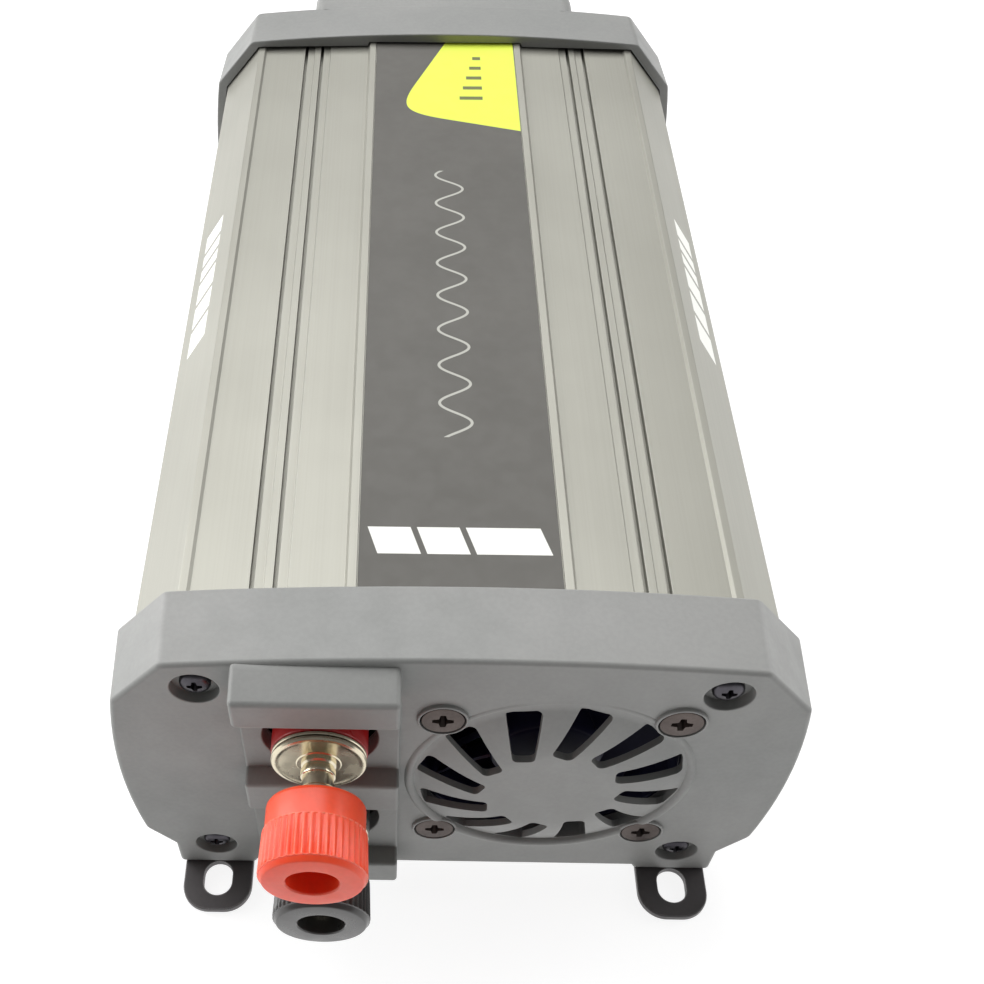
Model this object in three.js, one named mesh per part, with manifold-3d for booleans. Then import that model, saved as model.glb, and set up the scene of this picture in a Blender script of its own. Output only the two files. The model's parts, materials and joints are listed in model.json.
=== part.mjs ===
// A small power inverter: an extruded aluminium housing closed by two moulded end caps.
// The DC end has a moulded fan grille and two binding posts, the AC end a socket and a switch.
// Millimetres. X is to the right, Y runs from the DC end to the AC end, Z is up.
// The origin is in the middle of the footprint, on the surface that the mounting brackets rest on.
import * as THREE from "three";
import { mergeVertices } from "three/addons/utils/BufferGeometryUtils.js";
import Module from "manifold-3d";

const wasm = await Module();
wasm.setup();

// Overall lengths along Y, counted from the front panel.
const CASE_LENGTH = 208.2;
const KNOB_REACH = 27.5;
const BRACKET_REACH = 10.4;
const FRONT = -(CASE_LENGTH + BRACKET_REACH - KNOB_REACH) / 2;
const REAR = FRONT + CASE_LENGTH;

// End caps: the outline's named corners are [x, z] on the right-hand side.
const CAP = {
  top: 76.05,
  corner: [48.8, 73.5],
  shoulder: [58.3, 62.5],
  bulge: 62.5,
  hip: [59.4, 16.3],
  foot: [54.4, 9.4],
  bottom: 2.9,
};
const CAP_LENGTH = 15.2;
const CAP_WALL = 2.8;
const CAP_DRAFT = 0.014;
const FOOT_INNER = 38.5;
const MIDDLE = 39.4;

// Housing extrusion.
const HOUSING_INSET = 5;
const HOUSING = {
  shoulder: [56.8, 61.3],
  bulge: 60.9,
  hip: [57.6, 17.2],
  foot: [53, 10.6],
  bottom: 5,
};
const CAVITY = {
  top: 69.6,
  corner: [45.6, 69.6],
  shoulder: [54.6, 60.2],
  bulge: 58.8,
  hip: [55.6, 17.6],
  foot: [51, 11.4],
  bottom: 7.2,
};
const LABEL_HALF = 17.5;
const LABEL_Z = 73.05;
const LABEL_THICKNESS = 0.3;
const RIDGE_HALF = 19;
const RIDGE_Z = 73.5;
const PANEL_Z = 72.5;
const GROOVES = [31.3, 35.3];

// Fasteners, [x, z].
const CAP_SCREWS = { top: [43.6, 67], bottom: [46.2, 9.9] };
const CAP_HEAD_RADIUS = 2.65;
const COUNTERBORE_RADIUS = 4.12;
const COUNTERBORE_DEPTH = 2.1;
const SCREW_RADIUS = 1.7;

// Mounting brackets.
const BRACKET_THICKNESS = 1.5;
const BRACKET_WIDTH = 14;
const BRACKET_X = 46.4;
const BRACKET_UP = 13.8;
const BRACKET_CORNER = 5.5;
const SLOT_RADIUS = 2.9;
const SLOT_LENGTH = 7.4;

// Fan and its moulded grille.
const FAN = [17.35, 39.1];
const FAN_SIZE = 50;
const FAN_DEPTH = 15;
const FAN_PITCH = 40;
const FAN_START = 3.1;
const FAN_BORE = 23.6;
const BLADES = 7;
const BOSS_HEIGHT = 0.7;
const BOSS_RADIUS = 26.3;
const LOBE_RADIUS = 4.8;
const DOME_RADIUS = 24.4;
const DOME_HEIGHT = 3.06;
const DOME_FLAT = 12;
const DOME_EDGE = 0.05;
const RIM_WIDTH = 2;
const DOME_WALL = 1.9;
const SLOTS = 12;
const SLOT_INNER = { radius: 12.3, angle: 2, half: 1.9 };
const SLOT_OUTER = { radius: 24, angle: 14, half: 3.2 };

// Terminal block and binding posts.
const POST_X = -23.5;
const POSTS = { red: 53.4, black: 24.2 };
const BLOCK_HALF = 13.7;
const BLOCK_PROUD = 0.8;
const SHELF_PROUD = 4.8;
const SHELVES = [
  [3.9, 11.6],
  [34.4, 43.2],
];
const HOOD = { bottom: 65.4, front: 72.6, back: 74.3, proud: 6.6 };
const POST_HOLE_RADIUS = 10;
const POST_HOLE_DEPTH = 2.1;
const INSULATOR_RADIUS = 8.3;
const FLANGE_RADIUS = 8.2;
const STUD_RADIUS = 2.9;
const STUD_TIP = -18.8;
const FLANGE_FACE = -6;
const CLOSED_GAP = 0.1;
const NOSE_LENGTH = 2.8;
const KNOB_LENGTH = 13.6;
const KNOB_OPEN = { red: 5, black: 0 };

// AC end.
const OUTLET_HALF = 34;
const OUTLET_PROUD = 8;
const OUTLET_BOTTOM = 6;
const OUTLET_TOP = 75;
const SOCKET_Z = 40;
const WELL_RADIUS = 19.75;
const WELL_DEPTH = 17.5;
const PIN_PITCH = 19;
const OUTLET_FACE = OUTLET_PROUD + 0.6;
const CONTACT_FACE = OUTLET_FACE - WELL_DEPTH - 3.3;
const CONTACT_LENGTH = 13;
const SWITCH_X = -46.2;
const SWITCH_Z = 42;
const ROCKER_TILT = 11;
const INDICATOR_X = 46.2;
const INDICATORS = { power_indicator: 48, fault_indicator: 38 };
const INDICATOR_RADIUS = 2.5;

// Circuit board and what stands on it; lengths along Y are counted from the front panel.
const BOARD_Z = 15;
const BOARD_THICKNESS = 1.6;
const BOARD_HALF = 52.6;
const BOARD_SPAN = [21, 182];
const BOARD_TOP = BOARD_Z + BOARD_THICKNESS + 0.05;

// Solids and booleans.

function solidOf(geometry) {
  const bare = new THREE.BufferGeometry();
  bare.setAttribute("position", geometry.getAttribute("position"));
  bare.setIndex(geometry.index);
  const merged = mergeVertices(bare, 1e-4);
  const triVerts = new Uint32Array(merged.index.array);
  const vertProperties = merged.attributes.position.array;
  return new wasm.Manifold(new wasm.Mesh({ numProp: 3, vertProperties, triVerts }));
}

function geometryOf(solid) {
  const mesh = solid.getMesh();
  const geometry = new THREE.BufferGeometry();
  geometry.setAttribute("position", new THREE.BufferAttribute(new Float32Array(mesh.vertProperties), 3));
  geometry.setIndex(new THREE.BufferAttribute(new Uint32Array(mesh.triVerts), 1));
  geometry.computeVertexNormals();
  return geometry;
}

function joined(...geometries) {
  return geometryOf(geometries.map(solidOf).reduce((sum, piece) => sum.add(piece)));
}

function cut(geometry, ...tools) {
  return geometryOf(tools.map(solidOf).reduce((rest, tool) => rest.subtract(tool), solidOf(geometry)));
}

// An outline in the XZ plane, extruded along Y from y0 to y1.
function prism(shape, y0, y1, curveSegments = 8) {
  const geometry = new THREE.ExtrudeGeometry(shape, {
    depth: y1 - y0,
    bevelEnabled: false,
    curveSegments,
  });
  return geometry.rotateX(Math.PI / 2).translate(0, y1, 0);
}

// An outline in the XY plane, extruded upwards from z0 to z1.
function plate(shape, z0, z1, curveSegments = 6) {
  const depth = z1 - z0;
  return new THREE.ExtrudeGeometry(shape, { depth, bevelEnabled: false, curveSegments }).translate(0, 0, z0);
}

function block(x0, x1, y0, y1, z0, z1) {
  const geometry = new THREE.BoxGeometry(x1 - x0, y1 - y0, z1 - z0);
  return geometry.translate((x0 + x1) / 2, (y0 + y1) / 2, (z0 + z1) / 2);
}

// A cylinder along Y.
function rod(radius, [x, z], y0, y1, segments = 24) {
  return new THREE.CylinderGeometry(radius, radius, y1 - y0, segments).translate(x, (y0 + y1) / 2, z);
}

// A cylinder standing on z0.
function pillar(radius, x, y, z0, z1, segments = 24) {
  const geometry = new THREE.CylinderGeometry(radius, radius, z1 - z0, segments).rotateX(Math.PI / 2);
  return geometry.translate(x, y, (z0 + z1) / 2);
}

// A profile of [radius, y] points, listed towards +Y on the outside, turned about the Y axis.
function turned(profile, [x, z], segments = 24) {
  const points = profile.map(([radius, y]) => new THREE.Vector2(radius, y));
  return new THREE.LatheGeometry(points, segments).translate(x, 0, z);
}

function polygon(points) {
  return new THREE.Shape(points.map(([x, y]) => new THREE.Vector2(x, y)));
}

// A closed outline through the points with each corner rounded off.
function rounded(points, radius) {
  const shape = new THREE.Shape();
  points.forEach((corner, i) => {
    const here = new THREE.Vector2(...corner);
    const before = new THREE.Vector2(...points[(i + points.length - 1) % points.length]);
    const after = new THREE.Vector2(...points[(i + 1) % points.length]);
    const start = before.sub(here).setLength(radius).add(here);
    const end = after.sub(here).setLength(radius).add(here);
    if (i === 0) shape.moveTo(start.x, start.y);
    else shape.lineTo(start.x, start.y);
    shape.quadraticCurveTo(here.x, here.y, end.x, end.y);
  });
  shape.closePath();
  return shape;
}

function rectangle(x0, x1, y0, y1) {
  return [
    [x0, y0],
    [x1, y0],
    [x1, y1],
    [x0, y1],
  ];
}

function mirrored(points) {
  return [...points, ...points.map(([x, z]) => [-x, z]).reverse()];
}

// The right-hand side of a case outline: a flank that bulges between shoulder and hip, down to the bottom.
function flank({ shoulder, bulge, hip, foot, bottom }) {
  const curve = new THREE.QuadraticBezierCurve(
    new THREE.Vector2(...shoulder),
    new THREE.Vector2(bulge, MIDDLE),
    new THREE.Vector2(...hip),
  );
  return [...curve.getPoints(6).map(({ x, y }) => [x, y]), foot, [foot[0], bottom]];
}

// The same outline, larger all round.
function grown(outline, gap) {
  const out = ([x, z], up) => [x + gap, z + up * gap];
  return {
    shoulder: out(outline.shoulder, 0.3),
    bulge: outline.bulge + gap,
    hip: out(outline.hip, -0.3),
    foot: out(outline.foot, -0.3),
    bottom: outline.bottom - gap,
  };
}

// Where a pair of corner screws sits: [x, z] on the left and on the right.
function bothSides([x, z]) {
  return [
    [-x, z],
    [x, z],
  ];
}

const CORNERS = [...bothSides(CAP_SCREWS.top), ...bothSides(CAP_SCREWS.bottom)];

// End caps. Each is made with its outer face at y = 0 and its skirt towards +Y.

function crown(half, edge, top) {
  const steps = 4;
  return Array.from({ length: steps + 1 }, (_, i) => {
    const x = (half * i) / steps;
    return [x, top - (top - edge) * (x / half) ** 2];
  });
}

function capBlank() {
  const outline = [...crown(...CAP.corner, CAP.top).slice(1), ...flank(CAP)];
  const blank = prism(polygon(mirrored(outline)), 0, CAP_LENGTH);
  const feet = [-1, 1].map((side) => {
    const xs = [side * FOOT_INNER, side * CAP.foot[0]].sort((a, b) => a - b);
    return block(...xs, 0, CAP_LENGTH, BRACKET_THICKNESS, CAP.bottom + 1);
  });
  const whole = joined(blank, ...feet);
  const position = whole.getAttribute("position");
  for (let i = 0; i < position.count; i++) {
    position.setX(i, position.getX(i) * (1 + (CAP_DRAFT * position.getY(i)) / CAP_LENGTH));
  }
  return whole;
}

// The housing's outline with clearance, without its fine grooves.
function pocketShape() {
  const gap = 0.3;
  const top = [
    [RIDGE_HALF + gap, RIDGE_Z + gap],
    [RIDGE_HALF + gap + 0.5, PANEL_Z + gap],
    [47.7, 72.3],
  ];
  return polygon(mirrored([...top, ...flank(grown(HOUSING, gap))]));
}

function capScrewHoles() {
  return CORNERS.flatMap((at) => [
    rod(COUNTERBORE_RADIUS, at, -1, COUNTERBORE_DEPTH, 20),
    rod(SCREW_RADIUS + 0.3, at, 1, HOUSING_INSET + 1, 12),
  ]);
}

function bracketNotches() {
  return [-BRACKET_X, BRACKET_X].map((x) => {
    const half = BRACKET_WIDTH / 2 + 0.3;
    return block(x - half, x + half, CAP_WALL, HOUSING_INSET - 0.3, 0, BRACKET_UP + 0.5);
  });
}

function capShell() {
  const hollow = prism(pocketShape(), CAP_WALL, CAP_LENGTH + 1);
  const bosses = bothSides(CAP_SCREWS.top).map((at) => rod(4, at, 1, HOUSING_INSET - 0.2, 16));
  const shell = joined(cut(capBlank(), hollow), ...bosses);
  return cut(shell, ...capScrewHoles(), ...bracketNotches());
}

// Grille slots swirl: the inner end of each lags its outer end.
function polar({ radius, angle }, turn) {
  const a = THREE.MathUtils.degToRad(angle + turn);
  return new THREE.Vector2(FAN[0] + radius * Math.sin(a), FAN[1] + radius * Math.cos(a));
}

function grilleSlot(turn) {
  const inner = polar(SLOT_INNER, turn);
  const outer = polar(SLOT_OUTER, turn);
  const along = outer.clone().sub(inner).normalize();
  const across = new THREE.Vector2(-along.y, along.x);
  const corner = (end, offset) => end.clone().addScaledVector(across, offset).toArray();
  const outline = [
    corner(inner, -SLOT_INNER.half),
    corner(outer, -SLOT_OUTER.half),
    corner(outer, SLOT_OUTER.half),
    corner(inner, SLOT_INNER.half),
  ];
  return prism(rounded(outline, 1.1), -5, 6, 2);
}

// The dome's height in front of the panel at a radius from the fan's axis.
function domeY(radius) {
  const share = Math.max(0, (radius - DOME_FLAT) / (DOME_RADIUS - DOME_FLAT));
  return -DOME_HEIGHT + (DOME_HEIGHT + DOME_EDGE) * share ** 1.6;
}

function domeProfile(edge, offset, back) {
  const steps = 3;
  const slope = Array.from({ length: steps + 1 }, (_, i) => {
    const radius = DOME_FLAT + ((edge - DOME_FLAT) * i) / steps;
    return [radius, domeY(radius) + offset];
  });
  return [[0, -DOME_HEIGHT + offset], ...slope, [edge, back], [0, back]];
}

// The narrow rim round the dome.
function rim() {
  const inner = BOSS_RADIUS - RIM_WIDTH;
  const profile = [
    [inner, 1],
    [inner, -BOSS_HEIGHT],
    [BOSS_RADIUS - 0.3, -BOSS_HEIGHT],
    [BOSS_RADIUS, -BOSS_HEIGHT + 0.3],
    [BOSS_RADIUS, 1],
    [inner, 1],
  ];
  return turned(profile, FAN, 40);
}

function withGrille(shell) {
  const fanHoles = fanCorners();
  const raised = [
    rim(),
    turned(domeProfile(DOME_RADIUS, 0, 1), FAN, 40),
    ...fanHoles.map((at) => rod(LOBE_RADIUS, at, -BOSS_HEIGHT, 1, 16)),
  ];
  const hollow = turned(domeProfile(DOME_RADIUS - 0.6, DOME_WALL, CAP_WALL + 1), FAN, 40);
  const slots = Array.from({ length: SLOTS }, (_, i) => grilleSlot((i * 360) / SLOTS));
  const screws = fanHoles.flatMap((at) => [rod(4, at, -2, 0.9, 16), rod(2.4, at, 0, CAP_WALL + 1, 12)]);
  return cut(joined(shell, ...raised), hollow, ...slots, ...screws);
}

function fanCorners() {
  const half = FAN_PITCH / 2;
  return rectangle(FAN[0] - half, FAN[0] + half, FAN[1] - half, FAN[1] + half);
}

// The hood over the upper post, as seen from the side: [y, z].
function hood() {
  const side = polygon([
    [1, HOOD.bottom],
    [1, HOOD.back],
    [0, HOOD.back],
    [-HOOD.proud, HOOD.front],
    [-HOOD.proud, HOOD.bottom],
  ]);
  const depth = 2 * BLOCK_HALF;
  const along = new THREE.Matrix4().makeBasis(
    new THREE.Vector3(0, 1, 0),
    new THREE.Vector3(0, 0, 1),
    new THREE.Vector3(1, 0, 0),
  );
  const geometry = new THREE.ExtrudeGeometry(side, { depth, bevelEnabled: false });
  return geometry.applyMatrix4(along).translate(POST_X - BLOCK_HALF, 0, 0);
}

function withTerminalBlock(shell) {
  const [x0, x1] = [POST_X - BLOCK_HALF, POST_X + BLOCK_HALF];
  const pad = block(x0, x1, -BLOCK_PROUD, 1, SHELVES[0][0], HOOD.bottom + 1);
  const shelves = SHELVES.map(([z0, z1]) => block(x0, x1, -SHELF_PROUD, 1, z0, z1));
  const holes = Object.values(POSTS).flatMap((z) => [
    rod(POST_HOLE_RADIUS, [POST_X, z], -3, POST_HOLE_DEPTH, 28),
    rod(5.2, [POST_X, z], 0, CAP_WALL + 1, 16),
  ]);
  return cut(joined(shell, pad, ...shelves, hood()), ...holes);
}

function frontCap() {
  return withTerminalBlock(withGrille(capShell()));
}

// The rear cap is the same shell turned to face the other way, with the outlet block on its outer face.
function rearCap() {
  const shell = capShell().rotateZ(Math.PI);
  const xs = [-OUTLET_HALF, OUTLET_HALF];
  const outline = rounded(rectangle(...xs, OUTLET_BOTTOM, OUTLET_TOP), 3);
  const outlet = prism(outline, -1, OUTLET_PROUD, 5);
  const openings = [
    rod(22.3, [0, SOCKET_Z], -CAP_LENGTH, OUTLET_PROUD + 1, 36),
    block(SWITCH_X - 6.6, SWITCH_X + 6.6, -5, 2, SWITCH_Z - 9.6, SWITCH_Z + 9.6),
    ...Object.values(INDICATORS).map((z) => rod(2.8, [INDICATOR_X, z], -5, 2, 16)),
    ...ventSlots(),
  ];
  return cut(joined(shell, outlet), ...openings);
}

// Air leaves through slots beside the outlet block.
function ventSlots() {
  const [length, height, pitch] = [13, 2.2, 4];
  return [-1, 1].flatMap((side) =>
    [19, 19 + pitch, 19 + 2 * pitch].map((z) => {
      const x = side * 46.4;
      const outline = rounded(rectangle(x - length / 2, x + length / 2, z, z + height), 1);
      return prism(outline, -5, 2, 3);
    }),
  );
}

// The housing, one long extrusion with fine grooves, screw channels and slots for the board.

function groovedTop() {
  const points = [
    [LABEL_HALF, LABEL_Z],
    [LABEL_HALF, RIDGE_Z],
    [RIDGE_HALF, RIDGE_Z],
    [RIDGE_HALF + 0.5, PANEL_Z],
  ];
  for (const x of GROOVES) {
    const z = PANEL_Z - (x - RIDGE_HALF) / 27;
    points.push([x - 2.3, z + 0.1], [x - 2, z - 0.2], [x - 0.4, z - 0.2], [x - 0.4, z - 1.6]);
    points.push([x + 0.35, z - 1.6], [x + 0.35, z]);
  }
  points.push([45.6, 71.5], [46.1, 72], [47.5, 71.9]);
  return points;
}

function housing() {
  const [y0, y1] = [HOUSING_INSET, CASE_LENGTH - HOUSING_INSET];
  const outer = prism(polygon(mirrored([...groovedTop(), ...flank(HOUSING)])), y0, y1);
  const { corner, top } = CAVITY;
  const inner = prism(polygon(mirrored([[corner[0], top], ...flank(CAVITY)])), y0 - 1, y1 + 1);
  const channels = CORNERS.map((at) => rod(4, at, y0, y1, 20));
  const rails = [-1, 1].flatMap((side) =>
    [
      [13.6, 14.8, 54.5],
      [16.8, 18, 56],
    ].map(([z0, z1, reach]) => {
      const xs = [side * 50, side * reach].sort((a, b) => a - b);
      return block(...xs, y0, y1, z0, z1);
    }),
  );
  const pilots = CORNERS.map((at) => rod(SCREW_RADIUS + 0.2, at, y0 - 1, y1 + 1, 12));
  return cut(joined(cut(outer, inner), ...channels, ...rails), ...pilots);
}

function topLabel() {
  const half = LABEL_HALF - 0.2;
  const z0 = LABEL_Z + 0.02;
  return block(-half, half, HOUSING_INSET + 0.2, CASE_LENGTH - HOUSING_INSET - 0.2, z0, z0 + LABEL_THICKNESS);
}

// Screws. A head's face is towards -Y, with a cross recess.

function crossRecess(size, [x, z], y0, y1) {
  const [long, thin] = [size, size * 0.17];
  const across = block(x - long, x + long, y0, y1, z - thin, z + thin);
  const upright = block(x - thin, x + thin, y0, y1, z - long, z + long);
  return [across, upright];
}

function panHeadScrew(at, length) {
  const y = 0.3;
  const profile = [
    [0, y],
    [1.6, y],
    [CAP_HEAD_RADIUS, y + 0.8],
    [CAP_HEAD_RADIUS, COUNTERBORE_DEPTH - 0.1],
    [SCREW_RADIUS, COUNTERBORE_DEPTH - 0.1],
    [SCREW_RADIUS, length - 1],
    [0.5, length],
    [0, length],
  ];
  return cut(turned(profile, at, 12), ...crossRecess(1.5, at, y - 1, y + 0.9));
}

function flatHeadScrew(at, length) {
  const y = -BOSS_HEIGHT + 0.05;
  const profile = [
    [0, y],
    [3.7, y],
    [3.7, y + 0.4],
    [2.1, 0.8],
    [2.1, length],
    [0, length],
  ];
  return cut(turned(profile, at, 16), ...crossRecess(1.9, at, y - 1, y + 1));
}

// Brackets: a slotted foot plate that turns up behind the cap's front wall.

function bracket(x) {
  const half = BRACKET_WIDTH / 2;
  const [y0, y1] = [CAP_WALL + 0.15, CAP_WALL + 0.15 + BRACKET_THICKNESS];
  const end = -BRACKET_REACH;
  const foot = new THREE.Shape();
  foot.moveTo(x - half, y1);
  foot.lineTo(x - half, end + BRACKET_CORNER);
  foot.absarc(x - half + BRACKET_CORNER, end + BRACKET_CORNER, BRACKET_CORNER, Math.PI, 1.5 * Math.PI);
  foot.absarc(x + half - BRACKET_CORNER, end + BRACKET_CORNER, BRACKET_CORNER, 1.5 * Math.PI, 2 * Math.PI);
  foot.lineTo(x + half, y1);
  foot.closePath();
  const upright = block(x - half, x + half, y0, y1, 0, BRACKET_UP);
  const slotBack = SLOT_RADIUS - SLOT_LENGTH + 0.1;
  const slot = new THREE.Shape();
  slot.absarc(x, slotBack, SLOT_RADIUS, Math.PI, 2 * Math.PI);
  slot.absarc(x, 0.1 - SLOT_RADIUS, SLOT_RADIUS, 0, Math.PI);
  slot.closePath();
  const [screwX, screwZ] = CAP_SCREWS.bottom;
  const screwHole = rod(SCREW_RADIUS + 0.3, [Math.sign(x) * screwX, screwZ], 0, 8, 16);
  const solid = joined(plate(foot, 0, BRACKET_THICKNESS - 0.05), upright);
  return cut(solid, plate(slot, -1, BRACKET_THICKNESS + 1), screwHole);
}

// Fan.

function fanFrame() {
  const half = FAN_SIZE / 2;
  const end = FAN_START + FAN_DEPTH;
  const square = rounded(rectangle(FAN[0] - half, FAN[0] + half, FAN[1] - half, FAN[1] + half), 3);
  const frame = cut(prism(square, FAN_START, end, 3), rod(FAN_BORE, FAN, 0, 30, 32));
  const struts = [-45, 45].map((degrees) => {
    const bar = new THREE.BoxGeometry(2 * FAN_BORE + 1.5, 2.2, 2.4);
    return bar.rotateY(THREE.MathUtils.degToRad(degrees)).translate(FAN[0], end - 1.1, FAN[1]);
  });
  const stator = rod(11, FAN, end - 3.4, end, 20);
  return cut(joined(frame, ...struts, stator), ...fanCorners().map((at) => rod(2.3, at, 0, 30, 10)));
}

function fanRotor() {
  const [y0, y1] = [FAN_START + 1.3, FAN_START + 11.2];
  const hub = [
    [0, y0],
    [9.6, y0],
    [10.5, y0 + 0.9],
    [10.5, y1],
    [0, y1],
  ];
  const blades = Array.from({ length: BLADES }, (_, i) => {
    const blade = new THREE.BoxGeometry(12.6, 1.1, 10.5).translate(16, 0, 0);
    blade.rotateX(THREE.MathUtils.degToRad(52)).rotateY((i * 2 * Math.PI) / BLADES);
    return blade.translate(FAN[0], (y0 + y1) / 2, FAN[1]);
  });
  return joined(turned(hub, FAN, 24), ...blades);
}

// Binding posts.

function insulator(z) {
  const bore = STUD_RADIUS + 0.2;
  const seat = POST_HOLE_DEPTH - 0.1;
  const front = FLANGE_FACE + 1.9;
  return turned(
    [
      [bore, front],
      [INSULATOR_RADIUS - 0.3, front],
      [INSULATOR_RADIUS, front + 0.3],
      [INSULATOR_RADIUS, seat],
      [4.9, seat],
      [4.9, 5],
      [bore, 5],
      [bore, front],
    ],
    [POST_X, z],
  );
}

function stud(z) {
  return turned(
    [
      [0, STUD_TIP],
      [STUD_RADIUS - 0.6, STUD_TIP],
      [STUD_RADIUS, STUD_TIP + 0.6],
      [STUD_RADIUS, FLANGE_FACE],
      [FLANGE_RADIUS - 0.9, FLANGE_FACE],
      [FLANGE_RADIUS, FLANGE_FACE + 0.5],
      [FLANGE_RADIUS, FLANGE_FACE + 1.8],
      [STUD_RADIUS, FLANGE_FACE + 1.8],
      [STUD_RADIUS, 16],
      [0, 16],
    ],
    [POST_X, z],
  );
}

// The knob's rear face; the threaded insert's nose stands behind it.
function knobRear(colour) {
  return FLANGE_FACE - CLOSED_GAP - NOSE_LENGTH - KNOB_OPEN[colour];
}

function knobInsert(colour) {
  const rear = knobRear(colour);
  const bore = STUD_RADIUS + 0.2;
  return turned(
    [
      [bore, rear - 5.2],
      [4.5, rear - 5.2],
      [4.5, rear],
      [3.5, rear],
      [3.5, rear + NOSE_LENGTH],
      [bore, rear + NOSE_LENGTH],
      [bore, rear - 5.2],
    ],
    [POST_X, POSTS[colour]],
    20,
  );
}

function knob(colour) {
  const rear = knobRear(colour);
  const front = rear - KNOB_LENGTH;
  const grip = front + 7.7;
  return turned(
    [
      [4.25, front],
      [8.2, front],
      [8.9, front + 0.9],
      [8.6, grip],
      [8.3, grip + 0.3],
      [8.3, rear - 0.5],
      [7.9, rear],
      [4.7, rear],
      [4.7, rear - 5.4],
      [4.25, rear - 5.4],
      [4.25, front],
    ],
    [POST_X, POSTS[colour]],
    28,
  );
}

function postNut(z) {
  const hexagon = Array.from({ length: 6 }, (_, i) => {
    const a = (i * Math.PI) / 3;
    return [POST_X + 5.7 * Math.cos(a), z + 5.7 * Math.sin(a)];
  });
  return cut(prism(polygon(hexagon), 5.3, 9.8), rod(STUD_RADIUS + 0.2, [POST_X, z], 0, 20));
}

// A stranded lead through the points.
function lead(points, radius) {
  const path = new THREE.CatmullRomCurve3(points.map((point) => new THREE.Vector3(...point)));
  const section = new THREE.Shape().absarc(0, 0, radius, 0, 2 * Math.PI);
  return new THREE.ExtrudeGeometry(section, { steps: 12, extrudePath: path, curveSegments: 4 });
}

// From the back of a stud down to the board.
function inputLead(z, [x, y]) {
  const half = [(POST_X + x) / 2, 27, z * 0.6 + BOARD_TOP * 0.4];
  const drop = [
    [x, y, BOARD_TOP + 5],
    [x, y, BOARD_TOP + 0.3],
  ];
  return lead([[POST_X, 16.2, z], [POST_X, 22, z], half, ...drop], 2.2);
}

// From the board up to the back of an outlet contact.
function outputLead(side) {
  const [x, y] = [side * 13, CASE_LENGTH - 46];
  const contactX = (side * PIN_PITCH) / 2;
  const start = CASE_LENGTH + CONTACT_FACE - CONTACT_LENGTH - 0.3;
  const rise = [
    [contactX, start, SOCKET_Z],
    [contactX, start - 6, SOCKET_Z],
    [(contactX + x) / 2, y + 6, (SOCKET_Z + BOARD_TOP) / 2],
  ];
  return lead([...rise, [x, y, BOARD_TOP + 5], [x, y, BOARD_TOP + 0.3]], 1.7);
}

// From the fan frame's inner corner down to the board.
function fanLead() {
  const [x, z] = [FAN[0] - FAN_SIZE / 2 + 2.4, 24];
  const start = FAN_START + FAN_DEPTH + 0.3;
  const path = [
    [x, start, z],
    [x, start + 5, z + 1],
    [x, start + 9, z - 2],
    [x, start + 10, BOARD_TOP + 0.3],
  ];
  return lead(path, 1.2);
}

// AC outlet, switch and indicators; their outer faces are towards +Y from y = 0, the rear panel.

function acSocket() {
  const at = [0, SOCKET_Z];
  const face = OUTLET_FACE;
  const floor = face - WELL_DEPTH;
  const body = [
    [0, floor - 3],
    [21.8, floor - 3],
    [21.8, OUTLET_PROUD + 0.1],
    [23.5, OUTLET_PROUD + 0.1],
    [23.5, face],
    [WELL_RADIUS, face],
    [WELL_RADIUS, floor],
    [0, floor],
  ];
  const pins = [-1, 1].map((side) => rod(2.6, [(side * PIN_PITCH) / 2, SOCKET_Z], floor - 4, floor + 1, 20));
  const clips = [-1, 1].map((side) => {
    const zs = [SOCKET_Z + side * 17.6, SOCKET_Z + side * 20.6].sort((a, b) => a - b);
    return block(-2.9, 2.9, floor - 4, face - 2.5, ...zs);
  });
  const keys = [-1, 1].map((side) => {
    const xs = [side * 17.6, side * 20.6].sort((a, b) => a - b);
    return block(...xs, floor - 0.5, face - 1.5, SOCKET_Z - 2, SOCKET_Z + 2);
  });
  return cut(joined(turned(body, at, 36), ...keys), ...pins, ...clips);
}

function pinContact(side) {
  const at = [(side * PIN_PITCH) / 2, SOCKET_Z];
  const end = CONTACT_FACE;
  return cut(rod(3.4, at, end - CONTACT_LENGTH, end, 20), rod(2.45, at, end - 11, end + 1, 16));
}

// One strip bent into a U, with an earth contact at the top and bottom of the well.
function earthStrap() {
  const face = OUTLET_FACE;
  const back = face - WELL_DEPTH - 3.4;
  const arms = [-1, 1].map((side) => {
    const zs = [SOCKET_Z + side * 18.4, SOCKET_Z + side * 19.3].sort((a, b) => a - b);
    return block(-2.4, 2.4, back - 14, face - 5, ...zs);
  });
  return joined(...arms, block(-2.4, 2.4, back - 14.9, back - 13.5, SOCKET_Z - 19.3, SOCKET_Z + 19.3));
}

function switchBody() {
  const [x, z] = [SWITCH_X, SWITCH_Z];
  const bezel = prism(rounded(rectangle(x - 7.5, x + 7.5, z - 10.5, z + 10.5), 1.5), 0.1, 2, 3);
  const base = block(x - 6.4, x + 6.4, -15, 1, z - 9.3, z + 9.3);
  const tabs = [-6, 0].map((dz) => block(x - 2.4, x + 2.4, -22, -14, z + dz - 0.4, z + dz + 0.4));
  const cavity = block(x - 5.3, x + 5.3, -6.5, 3, z - 8.9, z + 8.9);
  return cut(joined(bezel, base, ...tabs), cavity);
}

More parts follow.
